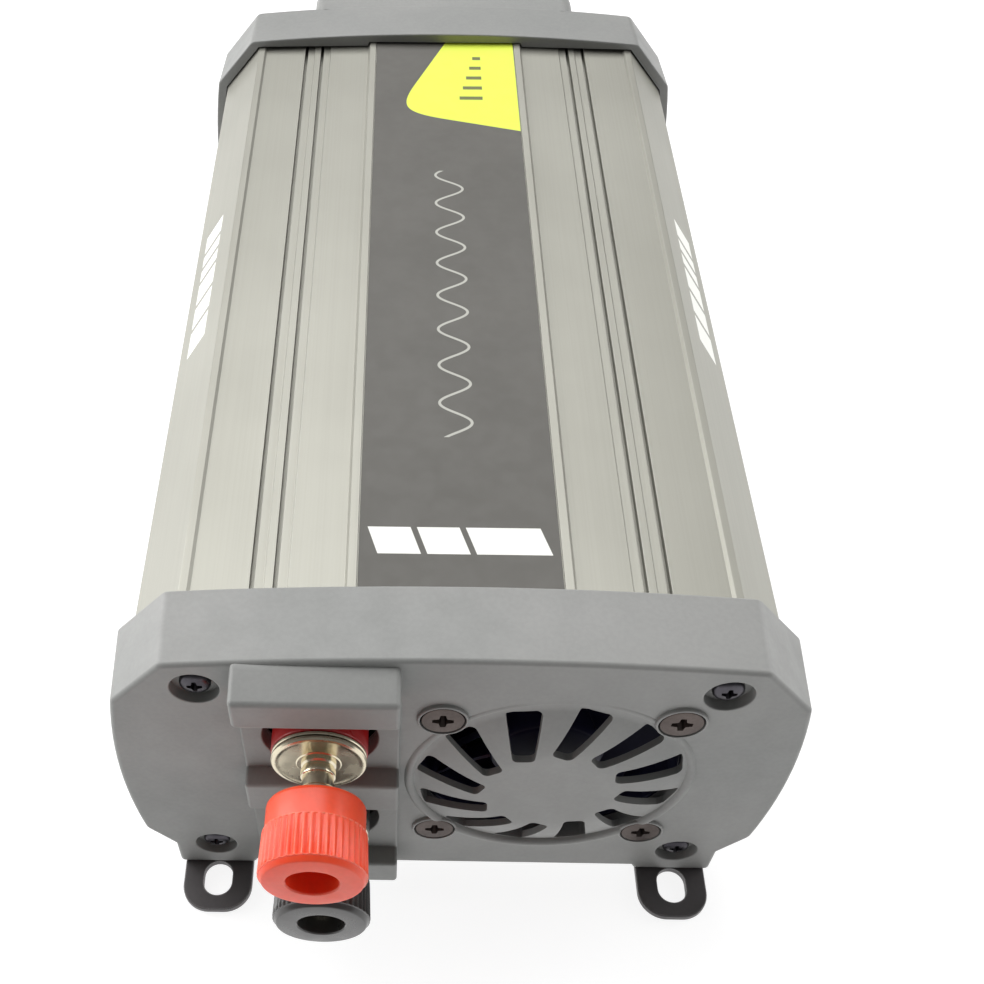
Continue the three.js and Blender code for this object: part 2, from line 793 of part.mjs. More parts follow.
// Two paddles in a shallow V about a pivot on the panel face, tipped to one side at rest.
function switchRocker() {
  const side = polygon([
    [-3.2, -7.4],
    [3.6, -8],
    [2, 0],
    [3.6, 8],
    [-3.2, 7.4],
    [-4.4, 0],
  ]);
  const turn = new THREE.Matrix4().makeBasis(
    new THREE.Vector3(0, 1, 0),
    new THREE.Vector3(0, 0, 1),
    new THREE.Vector3(1, 0, 0),
  );
  const geometry = new THREE.ExtrudeGeometry(side, { depth: 9.8, bevelEnabled: false });
  geometry.translate(0, 0, -4.9).applyMatrix4(turn);
  return geometry.rotateX(THREE.MathUtils.degToRad(-ROCKER_TILT)).translate(SWITCH_X, 0, SWITCH_Z);
}

function indicator(z) {
  return turned(
    [
      [0, -9],
      [2.9, -9],
      [2.9, -3.2],
      [INDICATOR_RADIUS, -3.2],
      [INDICATOR_RADIUS, 0.4],
      [1.7, 1.5],
      [0, 2],
    ],
    [INDICATOR_X, z],
    20,
  );
}

// Board and power parts.

function circuitBoard() {
  return block(-BOARD_HALF, BOARD_HALF, ...BOARD_SPAN, BOARD_Z, BOARD_Z + BOARD_THICKNESS);
}

function transformerCore([x, y]) {
  const outer = block(x - 21, x + 21, y - 10, y + 10, BOARD_TOP + 2, BOARD_TOP + 38);
  const windows = [-1, 1].map((side) => {
    const xs = [x + side * 6.4, x + side * 15].sort((a, b) => a - b);
    return block(...xs, y - 11, y + 11, BOARD_TOP + 8, BOARD_TOP + 32);
  });
  return cut(outer, ...windows);
}

function transformerWinding([x, y]) {
  const outline = rounded(rectangle(x - 14.5, x + 14.5, y - 16.5, y + 16.5), 5);
  const leg = block(x - 6.9, x + 6.9, y - 10.5, y + 10.5, 0, 80);
  const base = block(x - 14.5, x + 14.5, y - 16.5, y - 11, BOARD_TOP, BOARD_TOP + 9);
  return cut(joined(plate(outline, BOARD_TOP + 8.5, BOARD_TOP + 31.5, 3), base), leg);
}

function capacitor(radius, [x, y], height) {
  return pillar(radius, x, y, BOARD_TOP, BOARD_TOP + height);
}

function choke([x, y]) {
  const ring = rod(13, [x, BOARD_TOP + 13.2], y - 6, y + 6, 32);
  return cut(ring, rod(5.5, [x, BOARD_TOP + 13.2], y - 7, y + 7, 20));
}

function heatSink(side) {
  const xs = [side * 44, side * 49.5].sort((a, b) => a - b);
  return block(...xs, 50, 165, BOARD_TOP + 1.6, BOARD_TOP + 34);
}

function transistor(side, y) {
  const xs = [side * 39.2, side * 43.8].sort((a, b) => a - b);
  const legX = [side * 41, side * 41.6].sort((a, b) => a - b);
  const legY = [y - 2.5, y, y + 2.5];
  const legs = legY.map((at) => block(...legX, at - 0.4, at + 0.4, BOARD_TOP, BOARD_TOP + 9));
  return joined(block(...xs, y - 5, y + 5, BOARD_TOP + 8, BOARD_TOP + 23), ...legs);
}

function bladeFuse([x, y]) {
  const body = block(x - 9.5, x + 9.5, y - 2.4, y + 2.4, BOARD_TOP + 6, BOARD_TOP + 19);
  const bladeX = [x - 7, x + 7];
  const blades = bladeX.map((at) => block(at - 2.5, at + 2.5, y - 0.4, y + 0.4, BOARD_TOP, BOARD_TOP + 7));
  return joined(body, ...blades);
}

// Materials.

const COLOURS = {
  cap: [0x8f908c, 0.55, 0],
  aluminium: [0xb9b9ae, 0.38, 0.9],
  label: [0x77756f, 0.5, 0],
  bracket: [0x37332f, 0.5, 0.6],
  screw: [0x8d8a86, 0.35, 1],
  darkScrew: [0x5c534e, 0.4, 1],
  fan: [0x17171c, 0.5, 0],
  red: [0xe23a2e, 0.4, 0],
  black: [0x2b2a2a, 0.4, 0],
  nickel: [0xc9c2ae, 0.22, 1],
  brass: [0xb8964f, 0.3, 1],
  board: [0x1f5d3a, 0.6, 0],
  ferrite: [0x2e2e30, 0.8, 0],
  winding: [0xc9a227, 0.6, 0],
  capacitor: [0x2c3550, 0.4, 0],
  copper: [0xb66a3c, 0.4, 0.8],
  socket: [0x1c1c1e, 0.5, 0],
  green: [0x39c26b, 0.2, 0],
  amber: [0xe58b2a, 0.2, 0],
};

function material(name) {
  const [color, roughness, metalness] = COLOURS[name];
  return new THREE.MeshStandardMaterial({ color, roughness, metalness });
}

const inverter = new THREE.Group();
const frontEnd = new THREE.Group();
const rearEnd = new THREE.Group();
frontEnd.position.y = FRONT;
rearEnd.position.y = REAR;
inverter.add(frontEnd, rearEnd);

function add(group, name, geometry, finish) {
  const mesh = new THREE.Mesh(geometry, material(finish));
  mesh.name = name;
  group.add(mesh);
}

add(frontEnd, "housing", housing(), "aluminium");
add(frontEnd, "top_label", topLabel(), "label");
add(frontEnd, "front_cap", frontCap(), "cap");
add(rearEnd, "rear_cap", rearCap(), "cap");

const SIDES = { left: -1, right: 1 };
for (const [side, sign] of Object.entries(SIDES)) {
  const x = sign * BRACKET_X;
  add(frontEnd, `front_bracket_${side}`, bracket(x), "bracket");
  add(rearEnd, `rear_bracket_${side}`, bracket(-x).rotateZ(Math.PI), "bracket");
  for (const [row, [screwX, z]] of Object.entries(CAP_SCREWS)) {
    add(frontEnd, `front_screw_${row}_${side}`, panHeadScrew([sign * screwX, z], 18), "screw");
    const rearScrew = panHeadScrew([-sign * screwX, z], 18).rotateZ(Math.PI);
    add(rearEnd, `rear_screw_${row}_${side}`, rearScrew, "screw");
  }
}

fanCorners().forEach((at, i) => add(frontEnd, `fan_screw_${i + 1}`, flatHeadScrew(at, 15), "darkScrew"));
add(frontEnd, "fan_frame", fanFrame(), "fan");
add(frontEnd, "fan_rotor", fanRotor(), "fan");

const LEAD_FEET = { red: [-12, 33], black: [-32, 31] };
for (const [colour, z] of Object.entries(POSTS)) {
  add(frontEnd, `${colour}_insulator`, insulator(z), colour);
  add(frontEnd, `${colour}_stud`, stud(z), "nickel");
  add(frontEnd, `${colour}_knob_insert`, knobInsert(colour), "nickel");
  add(frontEnd, `${colour}_knob`, knob(colour), colour);
  add(frontEnd, `${colour}_stud_nut`, postNut(z), "nickel");
  add(frontEnd, `${colour}_lead`, inputLead(z, LEAD_FEET[colour]), colour);
}
add(frontEnd, "live_lead", outputLead(-1), "red");
add(frontEnd, "neutral_lead", outputLead(1), "black");
add(frontEnd, "fan_lead", fanLead(), "black");

add(frontEnd, "circuit_board", circuitBoard(), "board");
add(frontEnd, "transformer_core", transformerCore([0, 82]), "ferrite");
add(frontEnd, "transformer_winding", transformerWinding([0, 82]), "winding");
[-30, -10, 10].forEach((x, i) => {
  add(frontEnd, `input_capacitor_${i + 1}`, capacitor(8, [x, 50], 26), "capacitor");
});
add(frontEnd, "bus_capacitor", capacitor(12.5, [20, 122], 40), "capacitor");
add(frontEnd, "output_choke", choke([-18, 130]), "copper");
add(frontEnd, "fuse", bladeFuse([26, 36]), "amber");
for (const [side, sign] of Object.entries(SIDES)) {
  add(frontEnd, `heat_sink_${side}`, heatSink(sign), "aluminium");
  [80, 125].forEach((y, i) => add(frontEnd, `transistor_${side}_${i + 1}`, transistor(sign, y), "ferrite"));
}

add(rearEnd, "ac_socket", acSocket(), "socket");
add(rearEnd, "earth_strap", earthStrap(), "nickel");
add(rearEnd, "live_contact", pinContact(-1), "brass");
add(rearEnd, "neutral_contact", pinContact(1), "brass");
add(rearEnd, "switch_body", switchBody(), "socket");
add(rearEnd, "switch_rocker", switchRocker(), "red");
const LENSES = { power_indicator: "green", fault_indicator: "amber" };
for (const [name, z] of Object.entries(INDICATORS)) {
  add(rearEnd, name, indicator(z), LENSES[name]);
}

export default inverter;
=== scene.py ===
"""The looks of a small power inverter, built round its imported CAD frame.

Shapes are worked out in millimetres, and scaled to metres when a piece is placed. X is to the right and
Z is up. Each end of the case is drawn with its panel at y = 0 and its outside towards -Y, then moved to
its place.
"""

import json
import math

import bmesh
import bpy
from mathutils import Matrix, Vector


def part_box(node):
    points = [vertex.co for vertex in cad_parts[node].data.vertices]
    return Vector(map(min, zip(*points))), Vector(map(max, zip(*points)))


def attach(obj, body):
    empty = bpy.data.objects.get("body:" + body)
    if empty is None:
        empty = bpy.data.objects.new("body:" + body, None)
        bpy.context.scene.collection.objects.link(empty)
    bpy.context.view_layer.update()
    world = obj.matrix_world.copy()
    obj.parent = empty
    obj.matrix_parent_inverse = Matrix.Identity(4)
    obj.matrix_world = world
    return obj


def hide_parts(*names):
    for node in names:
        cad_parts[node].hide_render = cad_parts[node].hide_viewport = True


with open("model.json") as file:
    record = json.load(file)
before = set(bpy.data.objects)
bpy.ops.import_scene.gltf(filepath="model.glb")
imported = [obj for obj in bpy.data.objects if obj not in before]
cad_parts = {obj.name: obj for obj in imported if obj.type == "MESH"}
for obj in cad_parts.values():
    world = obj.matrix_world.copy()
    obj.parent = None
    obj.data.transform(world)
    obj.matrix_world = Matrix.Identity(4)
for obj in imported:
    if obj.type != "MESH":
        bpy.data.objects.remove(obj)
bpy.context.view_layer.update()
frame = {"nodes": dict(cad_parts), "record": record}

MM = 0.001
TAU = 2 * math.pi
POLE = 0.002  # stands for a radius of zero
EDGE_STEPS = 4


# Places taken from the frame, in millimetres.


def low(node):
    """Lowest corner of a CAD node."""
    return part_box(node)[0] / MM


def high(node):
    """Highest corner of a CAD node."""
    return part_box(node)[1] / MM


def middle(node):
    """Centre of a CAD node's box."""
    return (low(node) + high(node)) / 2


HOUSING_INSET = 5.0
FRONT = low("housing").y - HOUSING_INSET
REAR = high("housing").y + HOUSING_INSET
CASE_LENGTH = REAR - FRONT
FRONT_END = Matrix.Translation((0, FRONT, 0))
REAR_END = Matrix.Translation((0, REAR, 0)) @ Matrix.Rotation(math.pi, 4, "Z")

# End caps: the outline's corners on the right-hand side, as x, z and the radius that rounds them.
CAP_TOP = 75.88
CAP_CORNER = (48.8, 73.5, 2.2)
CAP_SHOULDER = (58.3, 62.5, 2.4)
CAP_BULGE = 62.5
CAP_HIP = (59.4, 16.3, 3.0)
CAP_FOOT = [(54.4, 9.4, 1.2), (54.4, 1.5, 0.95), (38.5, 1.5, 0.95), (38.5, 2.9, 0.4)]
CAP_LENGTH = 15.2
CAP_WALL = 2.8
CAP_DRAFT = 0.014
CAP_EDGE = 0.9
MIDDLE = 39.4

# Cap screws: their places, as x, z, and the radius and depth of the recess round each head.
CAP_SCREWS = {"top": (43.6, 67.0), "bottom": (46.2, 9.9)}
COUNTERBORE = (4.12, 2.1)
CAP_HEAD_RADIUS = 2.65
SCREW_RADIUS = 1.7
SCREW_CLEARANCE = 0.3
SCREW_CHANNEL_RADIUS = 4.0

# Mounting brackets. The slot is its half width, its far end and its near end.
BRACKET_X = 46.4
BRACKET_HALF = 7.0
BRACKET_REACH = 10.4
BRACKET_CORNER = 5.5
BRACKET_THICK = 1.5
BRACKET_BACK = 4.45
BRACKET_TOP = 13.8
BRACKET_SLOT = (2.9, -7.3, 0.1)
NOTCH_HALF = 7.3
NOTCH_BACK = 4.7
NOTCH_TOP = 14.3

# Fan grille. Each end of a slot is its distance from the middle, its turn in degrees and its half width.
FAN_PITCH = 40.0
FAN_HEAD_RADIUS = 3.7
FAN = (middle("fan_frame").x, middle("fan_frame").z)
BOSS_HEIGHT = 0.7
BOSS_RADIUS = 26.3
LOBE_RADIUS = 4.4
DOME_RADIUS = 24.4
DOME_HEIGHT = 3.06
DOME_FLAT = 12.0
DOME_EDGE = 0.05
DOME_WALL = 1.4
DOME_STEPS = 14
BEAD_INNER = 24.3
BEAD_LEAN = 0.02
SLOTS = 12
SLOT_INNER = (12.3, 2.0, 1.9)
SLOT_OUTER = (24.0, 14.0, 3.2)
SLOT_CORNER = 1.1
SLOT_REACH = 24.1

# Binding posts. The hood's side is an outline of y, z.
POST_X = middle("red_stud").x
POSTS = {"red": middle("red_stud").z, "black": middle("black_stud").z}
BLOCK_HALF = 13.7
PAD_PROUD = 0.8
SHELF_PROUD = 4.8
SHELVES = [(3.9, 11.6), (34.4, 43.2)]
HOOD_SIDE = [(1.5, 65.4), (1.5, 74.3), (0.0, 74.3), (-6.6, 72.6), (-6.6, 65.4)]
POST_HOLE_RADIUS = 10.0
POST_HOLE_DEPTH = 2.1
POST_NECK_HOLE = 5.2
POST_GAP = (8.6, 9.95)
POST_BRIDGE_HALF = 3.0
FLANGE_FACE = -6.0
FLANGE_RADIUS = 8.2
STUD_RADIUS = 2.9
THREAD_PITCH = 1.0
THREAD_DEPTH = 0.3
THREAD_STEP = 0.125
KNOB_RADIUS = 8.9
KNOB_BORE = 4.25
GRIP_LENGTH = 8.3
RIBS = 44
RIB_DEPTH = 0.56

# AC end.
OUTLET_HALF = 34.0
OUTLET_PROUD = 8.0
OUTLET_SPAN = (6.0, 75.0)
SOCKET_Z = middle("ac_socket").z
SOCKET_HOLE = 22.3
SOCKET_BODY = 21.8
SOCKET_BORE = 19.75
SOCKET_DEPTH = 17.5
SOCKET_KEY = (17.6, 20.6)
SWITCH = (-middle("switch_body").x, middle("switch_body").z)
SWITCH_BASE = (6.4, 9.3)
SWITCH_OPENING = (6.6, 9.6)
INDICATOR_X = -middle("power_indicator").x
INDICATOR_HOLE = 2.8
INDICATORS = {name: middle(name).z for name in ("power_indicator", "fault_indicator")}
VENT_X = 46.4
VENT_HALF = 6.5
VENT_HEIGHT = 2.2
VENTS = (19, 23, 27)


# Outlines in the XZ plane, anticlockwise, as lists of (x, z).


def fillet(points, steps=5):
    """The closed outline with every corner that has a radius, its third value, rounded by an arc."""
    outline = []
    for i, (x, z, *radius) in enumerate(points):
        here = Vector((x, z))
        if not radius or radius[0] == 0:
            outline.append(here)
            continue
        to_last = (Vector(points[i - 1][:2]) - here).normalized()
        to_next = (Vector(points[(i + 1) % len(points)][:2]) - here).normalized()
        half = to_last.angle(to_next) / 2
        centre = here + (to_last + to_next).normalized() * radius[0] / math.sin(half)
        start = here + to_last * radius[0] / math.tan(half) - centre
        sweep = (math.pi - 2 * half) * math.copysign(1, to_next.cross(to_last))
        outline += [centre + Matrix.Rotation(sweep * k / steps, 2) @ start for k in range(steps + 1)]
    return outline


def inset(outline, distance):
    """The outline moved inwards with mitred corners."""
    moved = []
    for i, here in enumerate(outline):
        along = (here - outline[i - 1]).normalized()
        onward = (outline[(i + 1) % len(outline)] - here).normalized()
        normals = [Vector((-edge.y, edge.x)) for edge in (along, onward)]
        mitre = (normals[0] + normals[1]) / max(1 + normals[0].dot(normals[1]), 0.3)
        moved.append(here + mitre * distance)
    return moved


def both_sides(right):
    """A symmetric outline from its right-hand half, which is listed from the bottom up."""
    return [*right, *[(-x, *rest) for x, *rest in reversed(right)]]


def rectangle(x0, x1, z0, z1, radius, steps=5):
    return fillet([(x0, z0, radius), (x1, z0, radius), (x1, z1, radius), (x0, z1, radius)], steps)


def circle(radius, centre, segments):
    turns = [TAU * k / segments for k in range(segments)]
    return [Vector((centre[0] + radius * math.cos(a), centre[1] + radius * math.sin(a))) for a in turns]


# Closed meshes, in millimetres.


def mesh_from(points, faces):
    mesh = bpy.data.meshes.new("shape")
    mesh.from_pydata([tuple(p) for p in points], [], faces)
    shape = bmesh.new()
    shape.from_mesh(mesh)
    bmesh.ops.recalc_face_normals(shape, faces=shape.faces)
    shape.to_mesh(mesh)
    shape.free()
    return mesh


def stacked(rings, closed=False):
    """A body through rings of equally many points. A closed stack returns to its first ring."""
    count = len(rings[0])
    points = [p for ring in rings for p in ring]
    levels = len(rings) if closed else len(rings) - 1
    faces = []
    for level in range(levels):
        here, there = level * count, (level + 1) % len(rings) * count
        for k in range(count):
            after = (k + 1) % count
            faces.append((here + k, here + after, there + after, there + k))
    if not closed:
        faces.append(tuple(range(count)))
        faces.append(tuple(range(len(points) - count, len(points))))
    return mesh_from(points, faces)


def quarter(radius):
    """Steps round a quarter circle, as (inset, depth) pairs from the full inset to none."""
    turns = [math.pi / 2 * k / EDGE_STEPS for k in range(EDGE_STEPS + 1)]
    return [(radius * (1 - math.sin(a)), radius * (1 - math.cos(a))) for a in turns]


def prism(outline, y0, y1, front=0.0, back=0.0):
    """An outline along Y, with its front and back edges rounded by those radii."""
    levels = [(moved, y0 + deep) for moved, deep in quarter(front)] if front else [(0, y0)]
    if back:
        levels += [(moved, y1 - deep) for moved, deep in reversed(quarter(back))]
    else:
        levels.append((0, y1))
    return stacked([[(x, y, z) for x, z in inset(outline, moved)] for moved, y in levels])


def tapered(outline, centre, y0, y1, share):
    """An outline along Y that shrinks about its centre to a share of its size."""
    middle_point = Vector(centre)
    small = [middle_point + (p - middle_point) * share for p in outline]
    return stacked([[(x, y0, z) for x, z in outline], [(x, y1, z) for x, z in small]])


def turned(profile, centre, segments):
    """A profile of (radius, y) turned about an axis along Y. It ends on the axis or closes on itself.

    A radius may be a function of the angle.
    """
    open_ended = profile[0][0] == 0 and profile[-1][0] == 0
    turns = [TAU * k / segments for k in range(segments)]
    rings = []
    for radius, y in profile:
        sizes = [radius(a) if callable(radius) else max(radius, POLE) for a in turns]
        rings.append([
            (centre[0] + size * math.cos(a), y, centre[1] + size * math.sin(a))
            for size, a in zip(sizes, turns)
        ])
    mesh = stacked(rings, closed=not open_ended)
    shape = bmesh.new()
    shape.from_mesh(mesh)
    bmesh.ops.remove_doubles(shape, verts=shape.verts, dist=2.5 * POLE)
    shape.to_mesh(mesh)
    shape.free()
    return mesh


def rod(radius, centre, y0, y1, segments=48):
    return turned([(0, y0), (radius, y0), (radius, y1), (0, y1)], centre, segments)


def sunk(radius, centre, floor, mouth=0.0, lip=0.25, reach=6.0):
    """A round cutter, open towards -Y, that rounds off the edge of the mouth it makes."""
    flare = [(radius + moved, mouth + deep) for moved, deep in quarter(lip)]
    top = mouth - reach
    return turned([(0, top), (radius + lip, top), *flare, (radius, floor), (0, floor)], centre, 72)


def block(x0, x1, y0, y1, z0, z1, radius=0.0):
    """A box with rounded edges."""
    shape = bmesh.new()
    bmesh.ops.create_cube(shape, size=1)
    for vertex in shape.verts:
        vertex.co.x = x0 if vertex.co.x < 0 else x1
        vertex.co.y = y0 if vertex.co.y < 0 else y1
        vertex.co.z = z0 if vertex.co.z < 0 else z1
    return rounded(shape, radius)


def rounded(shape, radius):
    """Rounds every edge of a bmesh and returns its mesh."""
    if radius:
        bmesh.ops.bevel(shape, geom=shape.edges[:], offset=radius, segments=3, profile=0.5, affect="EDGES")
    mesh = bpy.data.meshes.new("shape")
    shape.to_mesh(mesh)
    shape.free()
    return mesh


def side_prism(outline, x0, x1, radius):
    """An outline of (y, z) points along X, with rounded edges."""
    rings = [[(x, y, z) for y, z in outline] for x in (x0, x1)]
    shape = bmesh.new()
    shape.from_mesh(stacked(rings))
    return rounded(shape, radius)


def linked(mesh):
    made = bpy.data.objects.new("work", mesh)
    bpy.context.scene.collection.objects.link(made)
    return made


def combine(base, operation, tools):
    """The base joined with, or cut by, each tool in turn."""
    target = linked(base)
    others = [linked(tool) for tool in tools]
    for other in others:
        modifier = target.modifiers.new("combine", "BOOLEAN")
        modifier.operation = operation
        modifier.solver = "MANIFOLD"
        modifier.object = other
    depsgraph = bpy.context.evaluated_depsgraph_get()
    result = bpy.data.meshes.new_from_object(target.evaluated_get(depsgraph))
    for other in (target, *others):
        bpy.data.objects.remove(other)
    return result


def joined(base, *tools):
    return combine(base, "UNION", tools)


def cut(base, *tools):
    return combine(base, "DIFFERENCE", tools)


# Placing pieces.

BODY_OF = {node: body for body, nodes in frame["record"]["behaviour"]["bodies"].items() for node in nodes}
SLOT_OF = {part["node"]: part["material_slot"] for part in frame["record"]["subparts"]}
SMOOTH_ANGLE = math.radians(32)
KEPT_EDGE = 0.12
ROUND_PIECES = ("black_lead", "red_lead", "live_lead", "neutral_lead", "fan_lead")
KEPT_EDGES = {"top_label": 0.08, **dict.fromkeys(ROUND_PIECES, 0)}


def finish_of(node):
    """A node's own finish, or else its material slot's."""
    return FINISHES.get(node) or FINISHES[SLOT_OF[node]]


def finish_edges(piece, bevel):
    """Even shading, and small rounded edges where there is a bevel."""
    if bevel:
        modifier = piece.modifiers.new("edges", "BEVEL")
        modifier.width = bevel * MM
        modifier.segments = 2
        modifier.limit_method = "ANGLE"
        modifier.angle_limit = SMOOTH_ANGLE
        modifier.use_clamp_overlap = False
        modifier.miter_outer = "MITER_ARC"
    piece.modifiers.new("shading", "WEIGHTED_NORMAL").keep_sharp = True


def put(name, mesh, where):
    """Puts a finer piece in a CAD node's place, on that node's body and with its material slot."""
    mesh.transform(Matrix.Scale(MM, 4) @ where)
    mesh.materials.clear()
    mesh.materials.append(finish_of(name))
    mesh.shade_smooth()
    mesh.set_sharp_from_angle(angle=SMOOTH_ANGLE)
    made = bpy.data.objects.new(f"{name}_fine", mesh)
    bpy.context.scene.collection.objects.link(made)
    finish_edges(made, 0)
    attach(made, BODY_OF[name])
    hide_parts(name)


def keep(node):
    """Keeps a CAD node, with rounded edges and a better material."""
    piece = frame["nodes"][node]
    weld = piece.modifiers.new("weld", "WELD")
    weld.merge_threshold = 0.002 * MM
    flat = piece.modifiers.new("flat", "DECIMATE")
    flat.decimate_type = "DISSOLVE"
    flat.angle_limit = math.radians(0.5)
    finish_edges(piece, KEPT_EDGES.get(node, KEPT_EDGE))
    for material_slot in piece.material_slots:
        material_slot.link = "OBJECT"
        material_slot.material = finish_of(node)


# Finishes. Patterns are placed in millimetres in the piece's own space.


def rgb(code):
    """A colour written as 0xRRGGBB, made linear."""
    levels = [(code >> shift & 255) / 255 for shift in (16, 8, 0)]
    return (*[v / 12.92 if v <= 0.04045 else ((v + 0.055) / 1.055) ** 2.4 for v in levels], 1.0)


class Finish:
    """A material whose nodes are added by short calls."""

    def __init__(self, name, **sockets):
        self.material = bpy.data.materials.new(name)
        self.material.use_nodes = True
        self.tree = self.material.node_tree
        self.shader = self.tree.nodes["Principled BSDF"]
        self.height = None
        coordinates = self.tree.nodes.new("ShaderNodeTexCoord")
        self.place = self.vector("SCALE", coordinates.outputs["Object"], scale=1 / MM)
        self.set(**sockets)

    def put(self, socket, value):
        if isinstance(value, bpy.types.NodeSocket):
            self.tree.links.new(value, socket)
        else:
            socket.default_value = value

    def set(self, **sockets):
        """Sets the shader's inputs, named in lower case with _ for each space."""
        for name, value in sockets.items():
            found = next(s for s in self.shader.inputs if s.name.lower().replace(" ", "_") == name)
            self.put(found, value)

    def math(self, operation, *values):
        node = self.tree.nodes.new("ShaderNodeMath")
        node.operation = operation
        for socket, value in zip(node.inputs, values):
            self.put(socket, value)
        return node.outputs[0]

    def vector(self, operation, *values, scale=None):
        node = self.tree.nodes.new("ShaderNodeVectorMath")
        node.operation = operation
        for socket, value in zip(node.inputs, values):
            self.put(socket, value)
        if scale is not None:
            self.put(node.inputs["Scale"], scale)
        return node.outputs["Value"] if operation == "DOT_PRODUCT" else node.outputs["Vector"]

    def axes(self):
        """The place's x, y and z."""
        node = self.tree.nodes.new("ShaderNodeSeparateXYZ")
        self.put(node.inputs[0], self.place)
        return node.outputs[0], node.outputs[1], node.outputs[2]

    def span(self, value, low_end, high_end, to_low=0.0, to_high=1.0):
        """A value's place between two ends, eased and clamped, given between two others."""
        node = self.tree.nodes.new("ShaderNodeMapRange")
        node.interpolation_type = "SMOOTHSTEP"
        for socket, number in zip(node.inputs, (value, low_end, high_end, to_low, to_high)):
            self.put(socket, number)
        return node.outputs[0]

    def noise(self, size, detail, stretch=(1, 1, 1)):
        """Grain with features of about that size in millimetres."""
        node = self.tree.nodes.new("ShaderNodeTexNoise")
        spread = [size * factor for factor in stretch]
        self.put(node.inputs["Vector"], self.vector("DIVIDE", self.place, spread))
        self.put(node.inputs["Scale"], 1.0)
        self.put(node.inputs["Detail"], detail)
        return node.outputs[0]

    def mix(self, share, first, second):
        node = self.tree.nodes.new("ShaderNodeMix")
        node.data_type = "RGBA"
        for socket, value in zip((node.inputs[0], node.inputs[6], node.inputs[7]), (share, first, second)):
            self.put(socket, value)
        return node.outputs[2]

    def edges(self, width):
        """1 on edges within a width, 0 on flats."""
        soft = self.tree.nodes.new("ShaderNodeBevel")
        soft.samples = 4
        self.put(soft.inputs["Radius"], width * MM)
        hard = self.tree.nodes.new("ShaderNodeNewGeometry").outputs["Normal"]
        return self.span(self.vector("DOT_PRODUCT", soft.outputs[0], hard), 0.995, 0.85)

    def raise_by(self, height, amount):
        """Adds a height, in millimetres at 1, to the bump."""
        scaled = self.math("MULTIPLY", height, amount)
        self.height = scaled if self.height is None else self.math("ADD", self.height, scaled)
        return self

    def done(self):
        if self.height is not None:
            bump = self.tree.nodes.new("ShaderNodeBump")
            self.put(bump.inputs["Distance"], MM)
            self.put(bump.inputs["Height"], self.height)
            self.put(self.shader.inputs["Normal"], bump.outputs[0])
        return self.material


def moulded(name, dark, light, roughness, grain=0.35, depth=0.006, worn=0.06, **sockets):
    """Moulded plastic: a fine spark-eroded grain, slow colour drift, and edges rubbed a little paler."""
    finish = Finish(name, **sockets)
    drift = finish.span(finish.noise(38, 3), 0.35, 0.65)
    speckle = finish.span(finish.noise(0.9, 3), 0.3, 0.7)
    colour = finish.mix(drift, rgb(dark), rgb(light))
    colour = finish.mix(finish.math("MULTIPLY", speckle, 0.05), colour, (0, 0, 0, 1))
    colour = finish.mix(finish.math("MULTIPLY", finish.edges(0.5), worn), colour, (1, 1, 1, 1))
    finish.set(base_color=colour)
    finish.set(roughness=finish.span(finish.noise(5, 4), 0.3, 0.7, roughness - 0.05, roughness + 0.06))
    finish.raise_by(finish.noise(grain, 2), depth)
    return finish.raise_by(finish.noise(grain * 6, 2), depth * 0.8).done()


def metal(name, dark, light, roughness, lay=(1, 1, 1), grain=0.4, depth=0.002, **sockets):
    """Bare or plated metal whose fine scratches run long where its lay is large."""
    finish = Finish(name, metallic=1.0, **sockets)
    scratches = finish.noise(grain, 4, lay)
    stains = finish.span(finish.noise(6, 4), 0.3, 0.75)
    finish.set(base_color=finish.mix(stains, rgb(dark), rgb(light)))
    rough = finish.span(scratches, 0.3, 0.7, roughness - 0.05, roughness + 0.08)
    finish.set(roughness=finish.math("ADD", rough, finish.math("MULTIPLY", stains, 0.04)))
    return finish.raise_by(scratches, depth).done()


def gloss(name, dark, light, roughness, **sockets):
    """Smooth moulded plastic, a little uneven, with faint rubbing on its edges."""
    return moulded(name, dark, light, roughness, grain=0.7, depth=0.003, worn=0.1, **sockets)


# Printed shapes: each is 1 inside and 0 outside, and their places are in the frame, in millimetres.
PRINT_EDGE = 0.06


def beyond(finish, value, limit):
    """1 where a value is past a limit."""
    return finish.span(value, limit - PRINT_EDGE, limit + PRINT_EDGE)


def within(finish, value, centre, half):
    """1 where a value is within a half width of its centre."""
    distance = finish.math("ABSOLUTE", finish.math("SUBTRACT", value, centre))
    return finish.math("SUBTRACT", 1.0, beyond(finish, distance, half))


def both(finish, *masks):
    result = masks[0]
    for mask in masks[1:]:
        result = finish.math("MULTIPLY", result, mask)
    return result


def sheared(finish, along, across, slope):
    """A coordinate that leans over with another."""
    return finish.math("ADD", along, finish.math("MULTIPLY", across, slope))


LABEL_GREY = (0x575550, 0x5D5B56)
LIME = 0xE4F650
PRINT_WHITE = 0xF4F4EE
WAVE = {"start": 52.0, "end": 137.0, "swing": 3.0, "length": 10.6, "half_line": 0.27}
LIME_CORNER = Vector((-12.3, 161.6))
LIME_LEAN = 0.2754
LIME_RISE = 0.388
LIME_ROUNDING = 15.0
BARS = {"count": 5, "start": 186.0, "pitch": 4.6, "half": 0.75, "side": 8.8, "shortest": 2.0, "growth": 0.9}
BAND = {"place": 27, "half": 3.0, "half_length": 15.0, "slope": 0.3, "gaps": (-7.0, 1.5), "half_gap": 0.55}


